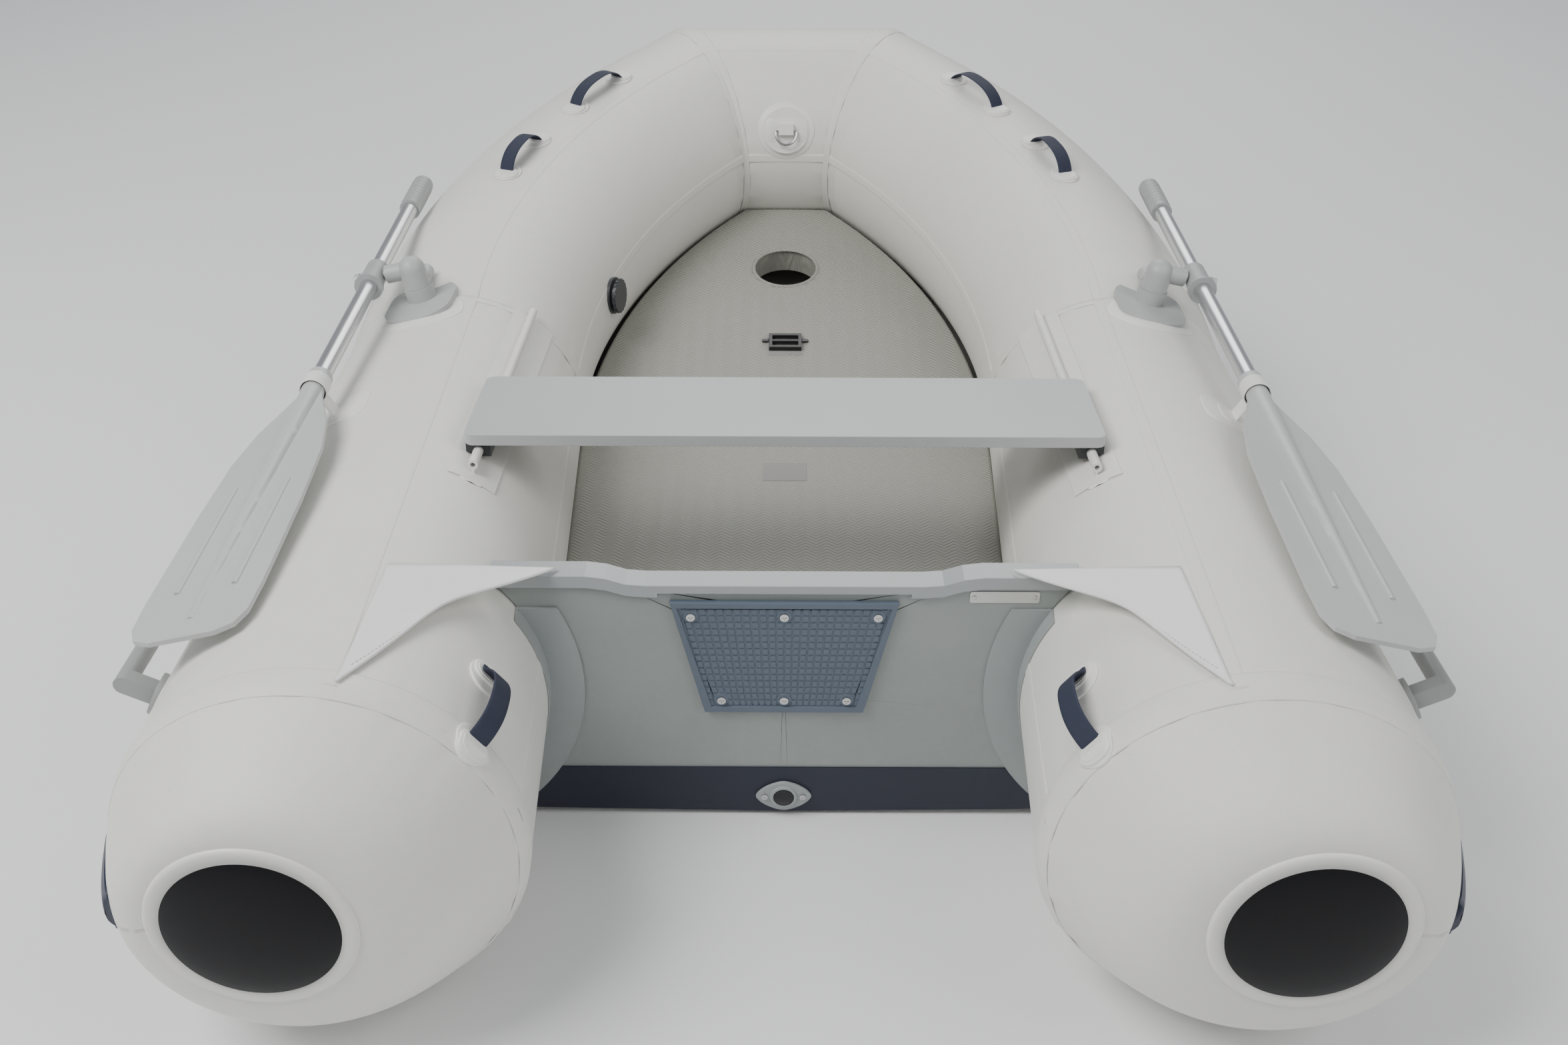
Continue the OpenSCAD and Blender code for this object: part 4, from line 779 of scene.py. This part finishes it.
def swept(path, radius, sides=20, closed=False):
    """Points of a tube along path. radius is a function of (distance, angle round)."""
    path = np.asarray(path, float)
    size = cumulative(path)
    ahead = (np.roll(path, -1, 0) - np.roll(path, 1, 0)) if closed else np.gradient(path, axis=0)
    ahead /= np.linalg.norm(ahead, axis=1)[:, None]
    up = np.cross(ahead[0], (0.3, 0.2, 1.0))
    up /= np.linalg.norm(up)
    angles = np.linspace(0, 2 * math.pi, sides, endpoint=False)
    rows = []
    for i, point in enumerate(path):
        up = up - ahead[i] * up.dot(ahead[i])
        up /= np.linalg.norm(up)
        side = np.cross(ahead[i], up)
        r = radius(size[i], angles)[:, None]
        rows.append(point + r * (np.cos(angles)[:, None] * up + np.sin(angles)[:, None] * side))
    return np.array(rows)


def braid(d, turns=70):
    def radius(size, a):
        left, right = np.sin(4 * a + turns * 6.283 * size), np.sin(4 * a - turns * 6.283 * size)
        return d / 2 * (0.955 + 0.045 * np.maximum(left, right))
    return radius


def rope(name, path, d, side=1):
    rows = swept(path, braid(d))
    size = cumulative(path)
    uvs = np.stack(np.meshgrid(size, np.arange(rows.shape[1]) * d / 6, indexing="ij"), -1)
    return outward(piece(name, mirrored(rows.reshape(-1, 3), side),
                         tube_faces(len(rows), rows.shape[1]), "rope_black", "hull", (),
                         uvs.reshape(-1, 2)))


rough_path = smooth_path([rope_point(*p) for p in ROPE_ROUTE], 12)
rope_path, rope_length = evenly(rough_path, 0.0022)
trefoil = []
for t in np.linspace(0, 2 * math.pi, 120, endpoint=False):
    trefoil.append((0.0036 * (math.sin(t) + 1.9 * math.sin(2 * t)),
                    0.0036 * (math.cos(t) - 1.9 * math.cos(2 * t)), -0.0058 * math.sin(3 * t)))
trefoil = np.array(trefoil + trefoil[:1])
lifelines = []
for word, side in SIDES:
    line = rope(f"lifeline_{word}", rope_path, ROPE_D, side)
    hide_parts("lifelines")
    for label, k in (("fwd", 9), ("aft", len(rope_path) - 10)):
        place = axis_matrix(rope_path[k], rope_path[min(k + 4, len(rope_path) - 1)] - rope_path[k - 4])
        knot = np.array([(place @ Vector(p))[:] for p in trefoil])
        rope(f"lifeline_knot_{label}_{word}", knot, 0.0078, side)
    lifelines.append(line)
print("lifeline length", round(float(rope_length), 3))

# %% [markdown]
# ## Webbing handles and their pads
# A handle is a length of flat webbing: it bows up in the middle, its edges are rounded, and its
# ends go under a welded oval pad. The strap is one outline carried along a bowed line.


# %% Straps and pads
def ribbon(name, line, normals, width, thick, slot, body="hull", stands_for=(), side=1, twill=True):
    """Flat strap along line. normals point out of its face; the edges are rounded."""
    line, normals = np.asarray(line, float), np.asarray(normals, float)
    ahead = np.gradient(line, axis=0)
    ahead /= np.linalg.norm(ahead, axis=1)[:, None]
    across = np.cross(ahead, normals)
    across /= np.linalg.norm(across, axis=1)[:, None]
    up = np.cross(across, ahead)
    half, t = width / 2, thick / 2
    u = np.linspace(-1, 1, 13)
    rise = t * (1 - np.abs(u) ** 8) ** 0.5
    loop = [(v * half, max(h, t * 0.2)) for v, h in zip(u, rise)]
    loop += [(v * half, -max(h, t * 0.2)) for v, h in zip(u[::-1], rise)]
    rows = np.array([p + np.outer([a for a, _ in loop], x) + np.outer([b for _, b in loop], z)
                     for p, x, z in zip(line, across, up)])
    size = cumulative(line)
    uvs = [(s, a) for s in size for a, _ in loop]
    obj = piece(name, mirrored(rows.reshape(-1, 3), side), tube_faces(len(rows), len(loop)), slot,
                body, (), uvs)
    if stands_for:
        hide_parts(*stands_for)
    return outward(obj)


STRAP_W, STRAP_T, ARCH_H, PAD_H = 0.027, 0.0025, 0.034, 0.003
Y_TRANSOM, TRANSOM_H = -0.735, 0.398


def handle(label, s0, phi0, l, word, side):
    place, p = frame_at(s0, phi0)
    u = np.linspace(-1, 1, 61)
    flat = np.clip((np.abs(u) - 0.86) / 0.14, 0, 1)
    y = u * (l / 2 + 0.015)
    z = PAD_H + 0.0010 + (ARCH_H - 0.006) * np.clip(1 - (np.abs(u) / 0.86) ** 2.6, 0, 1) ** 0.75
    z = z - 0.0006 * flat
    m = np.array(place.to_3x3())
    line = [np.array(p) + m @ np.array((0, a, b)) for a, b in zip(y, z)]
    slope = np.gradient(z) / np.gradient(y)
    normals = [m @ np.array((0, -k, 1.0)) for k in slope]
    ribbon(f"handle_strap_{label}_{word}", line, normals, STRAP_W, STRAP_T, "webbing_navy", side=side,
           stands_for=["bow_handles"] if label.startswith("bow") else ["stern_handles"])
    for end, k in (("a", -1), ("b", 1)):
        shift = k * (l / 2 + 0.006)
        base = patch(f"handle_pad_{label}_{end}_{word}", s0 + shift, phi0, oval(0.052, 0.054, 48), PAD_H,
                     "patch_fabric", side)
        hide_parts("handle_pads")
        patch(f"handle_cover_{label}_{end}_{word}", s0 + shift + k * 0.006, phi0,
              oval(0.044, 0.034, 40, 2.6), 0.0052, "patch_fabric", side, base=0.0006)
        patch(f"handle_weld_{label}_{end}_{word}", s0 + shift + k * 0.006, phi0,
              oval(0.036, 0.026, 36, 2.4), 0.0012, "patch_fabric", side, base=0.0054,
              dish=0.0007)


STERN_HANDLE_Y, STERN_HANDLE_A, STERN_HANDLE_L = -0.980, 52, 0.110
STERN_S, STERN_PHI = STERN_HANDLE_Y - Y_START, math.radians(90 + STERN_HANDLE_A)
for word, side in SIDES:
    for number, (t, l) in enumerate(((20, 0.108), (32, 0.128))):
        handle(f"bow{number}", STUB + BEND_R * math.radians(t), math.radians(86), l, word, side)
    handle("stern", STERN_S, STERN_PHI, STERN_HANDLE_L, word, side)
print("handles done")

# %% [markdown]
# ## Splash flaps
# A flap of fabric bridges each corner between transom and tube so water stays out. It is a real
# sheet with a turned, welded hem along its free edge. It sags a little between its edges.

# %% Splash flaps
top_z = lambda x, y: r_at(y) + math.sqrt(r_at(y) ** 2 - (x - x_at(y)) ** 2)
FLAP_TIP = np.array((0.286, Y_TRANSOM + 0.008, TRANSOM_H + 0.0041))
FLAP_FWD = np.array((0.475, Y_TRANSOM - 0.060, top_z(0.475, Y_TRANSOM - 0.060) + 0.0035))
FLAP_AFT = np.array((0.478, Y_SEAM + 0.004, top_z(0.478, Y_SEAM + 0.004) + 0.0035))


def flap_edge(t):
    """The free edge: from the tip on the transom to the aft corner, curving in."""
    p = FLAP_TIP * (1 - t) + FLAP_AFT * t
    inward = (FLAP_FWD - p) / np.linalg.norm(FLAP_FWD - p)
    return p + inward * 0.030 * math.sin(math.pi * t)


def flap_point(u, v):
    """u from tip to the tube, v from the forward edge to the free edge."""
    fwd = FLAP_TIP * (1 - u) + FLAP_FWD * u
    free = flap_edge(u)
    p = fwd * (1 - v) + free * v
    p = p - np.array((0, 0, 0.004)) * math.sin(math.pi * u) * math.sin(math.pi * v)
    reach = math.hypot(p[0] - x_at(p[1]), p[2] - r_at(p[1]))
    least = r_at(p[1]) + 0.0022
    if reach < least:
        k = least / reach
        p = np.array((x_at(p[1]) + (p[0] - x_at(p[1])) * k, p[1], r_at(p[1]) + (p[2] - r_at(p[1])) * k))
    return p


FLAP_T = 0.0012
for word, side in SIDES:
    nu, nv = 48, 25
    grid = np.array([[flap_point(u, v) for v in np.linspace(0, 1, nv)] for u in np.linspace(0.004, 1, nu)])
    du, dv = np.gradient(grid, axis=0), np.gradient(grid, axis=1)
    normal = np.cross(du, dv)
    normal /= np.linalg.norm(normal, axis=2)[..., None]
    normal *= np.sign(normal[..., 2:])
    upper, lower = grid + normal * FLAP_T / 2, grid - normal * FLAP_T / 2
    verts = np.concatenate([upper.reshape(-1, 3), lower.reshape(-1, 3)])
    n = nu * nv
    idx = np.arange(n).reshape(nu, nv)
    faces = [(idx[i, j], idx[i + 1, j], idx[i + 1, j + 1], idx[i, j + 1])
             for i in range(nu - 1) for j in range(nv - 1)]
    faces += [tuple(n + k for k in f[::-1]) for f in faces]
    rim_path = ([idx[i, 0] for i in range(nu)] + [idx[-1, j] for j in range(1, nv)]
                + [idx[i, -1] for i in range(nu - 2, -1, -1)] + [idx[0, j] for j in range(nv - 2, 0, -1)])
    faces += [(a, b, b + n, a + n) for a, b in zip(rim_path, rim_path[1:] + rim_path[:1])]
    uvs = [(p[0], p[1]) for p in verts]
    flap = outward(piece(f"splash_flap_sheet_{word}", mirrored(verts, side), faces, "flap_fabric",
                         "hull", [f"splash_flap_{word}"], uvs))
    for i in range(nu - 1):
        for j in range(nv - 1):
            a, b, c, d = grid[i, j], grid[i + 1, j], grid[i + 1, j + 1], grid[i, j + 1]
    hem_line = np.array([flap_point(u, 1) + np.array((0, 0, 0.0012)) for u in np.linspace(0.01, 0.995, 60)])
    hem = outward(piece(f"splash_flap_hem_{word}", mirrored(
        swept(hem_line, lambda s, a: 0.0022 + 0 * a, 10).reshape(-1, 3), side), tube_faces(60, 10),
        "flap_fabric"))

# %% [markdown]
# ## Oar straps
# Each strap is a webbing loop on a rounded patch that holds the shaft.

# %% Oar straps
LOCK = np.array((0.679620, 0.058690, 0.447930))
STRAP_AT = LOCK + np.array((0, -0.395 + 0.006, 0))
for word, side in SIDES:
    y = float(STRAP_AT[1])
    hull_middle = np.array((x_at(y), y, r_at(y)))
    down = hull_middle - STRAP_AT
    down[1] = 0
    down /= np.linalg.norm(down)
    across = np.cross(down, (0, 1, 0))
    reach = np.linalg.norm((hull_middle - STRAP_AT)[[0, 2]]) - r_at(y)
    line, normals = [], []
    for t in np.linspace(-math.pi * 0.5, math.pi * 1.5, 64):
        away = math.cos(t) * across - math.sin(t) * down
        line.append(STRAP_AT + 0.0191 * away)
        normals.append(away)
    ring_obj = ribbon(f"oar_strap_ring_{word}", line, normals, 0.032, 0.0019, "strap_fabric", side=side,
                      stands_for=[f"oar_strap_{word}"])
    web = [STRAP_AT + down * k for k in np.linspace(0.0185, reach - 0.0004, 16)]
    tail = ribbon(f"oar_strap_tail_{word}", web, [across] * 16, 0.030, 0.0026, "strap_fabric",
                  side=side)
    s0, phi0 = y - Y_START, math.atan2(-down[2], -down[0])
    patch(f"oar_strap_patch_{word}", s0, phi0, oval(0.104, 0.090, 56, 4.0), 0.0014,
          "patch_fabric", side)
    patch(f"oar_strap_doubler_{word}", s0, phi0, oval(0.050, 0.060, 48, 3.4), 0.0012, "strap_fabric",
          side, base=0.0014, dish=0.0003)
    for soft in (ring_obj, tail):
        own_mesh(soft)
print("oar straps done")

# %% [markdown]
# ## Patches under the eyes, rails, ring and valve
# Everything that pulls on the fabric sits on a doubler patch that spreads the load.

# %% Doublers
for word, side in SIDES:
    patch(f"eye_patch_fwd_{word}", STUB + BEND_R * math.radians(5.25), math.radians(40),
          oval(0.062, 0.062, 48), 0.0010, "patch_fabric", side)
    patch(f"eye_patch_aft_{word}", -0.560, math.radians(28), oval(0.062, 0.062, 48), 0.0010,
          "patch_fabric", side)
    patch(f"lock_patch_{word}", 0.029 - Y_START, math.radians(77), oval(0.150, 0.150, 64), 0.0010,
          "patch_fabric", side)
    patch(f"carry_patch_{word}", -0.820 - Y_START, math.radians(26), oval(0.080, 0.230, 64, 3), 0.0010,
          "patch_fabric", side)
RAIL_X, RAIL_Y0, RAIL_L = 0.424, -0.5138, 0.590
for word, side in SIDES:
    rows = []
    ys = np.linspace(RAIL_Y0 - 0.024, RAIL_Y0 + RAIL_L + 0.014, 48)
    for k, y in enumerate(ys):
        phi0 = math.acos((RAIL_X - x_at(y)) / r_at(y))
        end = min(1.0, (min(k, 47 - k) + 0.6) / 3.2) ** 0.5
        half = 0.034 / r_at(y) * end
        u = np.linspace(-1, 1, 11)
        high = 0.0014 * (1 - np.abs(u) ** 10) + 0.0002
        outline = [(phi0 - v * half, h) for v, h in zip(u, high)] + [(phi0 + half, -0.0006),
                                                                   (phi0 - half, -0.0006)]
        phis, offs = np.array(outline).T
        rows.append(hull_at(y - Y_START, phis, offs))
    rows = np.array(rows)
    outward(piece(f"rail_doubler_{word}", mirrored(rows.reshape(-1, 3), side),
                  tube_faces(len(rows), rows.shape[1]), "patch_fabric"))
print("doublers done")


# %% [markdown]
# ## Waffle grid, rivets and stitches
# The waffle on the motor pad is one Geometry Nodes group: it puts a block on each point of a
# grid, and its inputs set the count, the size and the spacing. The result is kept as a plain
# mesh. The two rivets are turned, and the stitches along the flaps' hems are short swept tubes.

# %% Repeating shapes
def repeat_tree():
    tree = bpy.data.node_groups.new("repeat_along", "GeometryNodeTree")
    face = tree.interface
    face.new_socket("Geometry", in_out="INPUT", socket_type="NodeSocketGeometry")
    ids = {}
    for label, kind, default in (("Columns", "NodeSocketInt", 10), ("Rows", "NodeSocketInt", 1),
                                 ("Width", "NodeSocketFloat", 0.1), ("Height", "NodeSocketFloat", 0.1),
                                 ("Size", "NodeSocketVector", (0.01, 0.01, 0.01)),
                                 ("Material", "NodeSocketMaterial", None)):
        socket = face.new_socket(label, in_out="INPUT", socket_type=kind)
        if default is not None:
            socket.default_value = default
        ids[label] = socket.identifier
    face.new_socket("Geometry", in_out="OUTPUT", socket_type="NodeSocketGeometry")
    node = lambda kind: tree.nodes.new(kind)
    start, end = node("NodeGroupInput"), node("NodeGroupOutput")
    grid, place = node("GeometryNodeMeshGrid"), node("GeometryNodeInstanceOnPoints")
    block, real = node("GeometryNodeMeshCube"), node("GeometryNodeRealizeInstances")
    coat = node("GeometryNodeSetMaterial")
    link = tree.links.new
    link(start.outputs["Width"], grid.inputs["Size X"])
    link(start.outputs["Height"], grid.inputs["Size Y"])
    link(start.outputs["Columns"], grid.inputs["Vertices X"])
    link(start.outputs["Rows"], grid.inputs["Vertices Y"])
    link(start.outputs["Size"], block.inputs["Size"])
    link(grid.outputs["Mesh"], place.inputs["Points"])
    link(block.outputs["Mesh"], place.inputs["Instance"])
    link(place.outputs["Instances"], real.inputs["Geometry"])
    link(real.outputs["Geometry"], coat.inputs["Geometry"])
    link(start.outputs["Material"], coat.inputs["Material"])
    link(coat.outputs["Geometry"], end.inputs["Geometry"])
    return tree, ids


REPEAT, REPEAT_IDS = repeat_tree()


def repeated(name, matrix, slot, body="hull", warp=None, **settings):
    """A grid of blocks in the plane of matrix, as one plain mesh."""
    mesh = bpy.data.meshes.new(name)
    mesh.from_pydata([(0, 0, 0)], [], [])
    obj = bpy.data.objects.new(name, mesh)
    bpy.context.scene.collection.objects.link(obj)
    mod = obj.modifiers.new("repeat", "NODES")
    mod.node_group = REPEAT
    settings["Material"] = mats[slot]
    for label, value in settings.items():
        mod[REPEAT_IDS[label]] = value
    bpy.context.view_layer.update()
    baked(obj)
    obj.data.transform(matrix)
    if warp is not None:
        for v in obj.data.vertices:
            v.co = warp(v.co)
    obj.data.update()
    return dress(obj, slot, body)


PAD_TOP, PAD_BOT, PAD_WT, PAD_WB, PAD_T, RIM = 0.360, 0.184, 0.290, 0.208, 0.008, 0.009
upright = Matrix.Translation((0, Y_TRANSOM - PAD_T + 0.003 + 0.0001, (PAD_TOP + PAD_BOT) / 2)) @ (
    Matrix.Rotation(math.pi / 2, 4, "X"))


def in_trapezoid(p):
    """Squeezes a grid as wide as the pad's top into the pad's tapered outline."""
    k = (p.z - PAD_BOT) / (PAD_TOP - PAD_BOT)
    return Vector((p.x * (PAD_WB + (PAD_WT - PAD_WB) * k) / PAD_WT, p.y, p.z))


repeated("pad_waffle", upright, "pad_slate", warp=in_trapezoid, Columns=24, Rows=15,
         Width=PAD_WT - 2 * RIM - 0.014, Height=PAD_TOP - PAD_BOT - 2 * RIM - 0.012,
         Size=(0.0078, 0.0078, 0.0020))
for sign, word in ((-1, "port"), (1, "starboard")):
    plate_rivet = Matrix.Translation((0.278 + sign * 0.038, Y_TRANSOM - 0.0015, 0.366))
    profile = [(0.0028 * math.sin(t), 0.0012 * math.cos(t)) for t in np.linspace(0, math.pi / 2, 6)]
    turned(f"plate_rivet_{word}", profile + [(0.0028, -0.001), (0, -0.001)],
           plate_rivet @ Matrix.Rotation(math.pi / 2, 4, "X"), "screw_steel", n=24)
for word, side in SIDES:
    hem_stitch = []
    points = np.array([flap_point(u, 0.93) for u in np.linspace(0.03, 0.97, 120)])
    for k in range(0, 118, 2):
        a, b = points[k] + (0, 0, 0.0009), points[k + 1] + (0, 0, 0.0009)
        hem_stitch.append((a, b))
    rows = [swept(np.array([a, (a + b) / 2, b]), lambda s, t: 0.0005 + 0 * t, 6) for a, b in hem_stitch]
    verts, faces = [], []
    for row in rows:
        base_index = len(verts)
        verts += list(row.reshape(-1, 3))
        faces += [tuple(base_index + v for v in f) for f in tube_faces(3, 6)]
    outward(piece(f"flap_stitches_{word}", mirrored(verts, side), faces, "stitch_grey"))
print("repeats done")

# %% [markdown]
# ## Bevelled boards and mouldings
# Real edges are never sharp. Eight parts that came from the frame get a copy with a small
# bevel, so the light catches each edge, and the copy takes the place of its plain twin.

# %% Bevelled copies
BEVELS = {"transom_trim": (0.0035, "trim_grey", "hull"), "seat_board": (0.0045, "seat_paint", "seat"),
          "transom_board": (0.002, "board_paint", "hull"), "floor_buckle": (0.0012, "buckle_black", "hull"),
          "drain_flange": (0.0010, "drain_grey", "hull"), "motor_pad": (0.0012, "pad_slate", "hull"),
          "carry_handles": (0.0030, "carry_grey", "hull"), "floor_strap": (0.0004, "webbing_grey", "hull")}
for node, (size, slot, body) in BEVELS.items():
    twin = frame["nodes"][node]
    copy = bpy.data.objects.new(f"{node}_bevelled", twin.data.copy())
    bpy.context.scene.collection.objects.link(copy)
    copy.data.transform(twin.matrix_world)
    outward(copy)
    bevel = copy.modifiers.new("bevel", "BEVEL")
    bevel.width, bevel.segments, bevel.limit_method = size, 2, "ANGLE"
    bevel.angle_limit = math.radians(32)
    bpy.context.view_layer.update()
    baked(copy)
    dress(copy, slot, body, [node])
print("bevelled", len(BEVELS))

# %% [markdown]
# ## Bow patch and grip rings
# The towing ring hangs on a loop over two round patches of different size. The oars get the
# rings that keep a wet hand from slipping.

# %% Bow patch and oar details
RING_PHI = math.radians(90 + 62)


def bow_disc(name, radius, thick, base=0.0):
    """A round patch on the middle of the bow, which has no side to mirror."""
    rings = [(1.0, -0.0006), (1.0, thick * 0.6), (0.985, thick), (0.6, thick), (0.2, thick),
             (0.01, thick)]
    points, n = [], 72
    for scale, off in rings:
        for t in np.linspace(0, 2 * math.pi, n, endpoint=False):
            a, b = radius * scale * math.cos(t), radius * scale * math.sin(t)
            p = surface("bow", BOW_HALF - 1e-6, RING_PHI + a / BOW_R, base + off)
            points.append(p + np.array((b, 0, 0)))
    uvs = [(p[0], p[2]) for p in points]
    return outward(piece(name, points, tube_faces(len(rings), n), "patch_fabric", "hull", (), uvs))


bow_disc("bow_patch_lower", 0.058, 0.0014)
bow_disc("bow_patch_upper", 0.044, 0.0012, 0.0032)
for word, side in SIDES:
    for k, y in enumerate(np.linspace(0.318, 0.412, 8)):
        at = LOCK + np.array((0, y, 0))
        profile = [(0.0172, 0.0030), (0.0190, 0.0018), (0.0192, 0.0), (0.0190, -0.0018),
                   (0.0172, -0.0030)]
        turned(f"grip_ring_{k}_{word}", profile, axis_matrix(at, (0, 1, 0)), "oar_grey",
               f"oar_{word}", n=40, side=side)
print("oar details done")
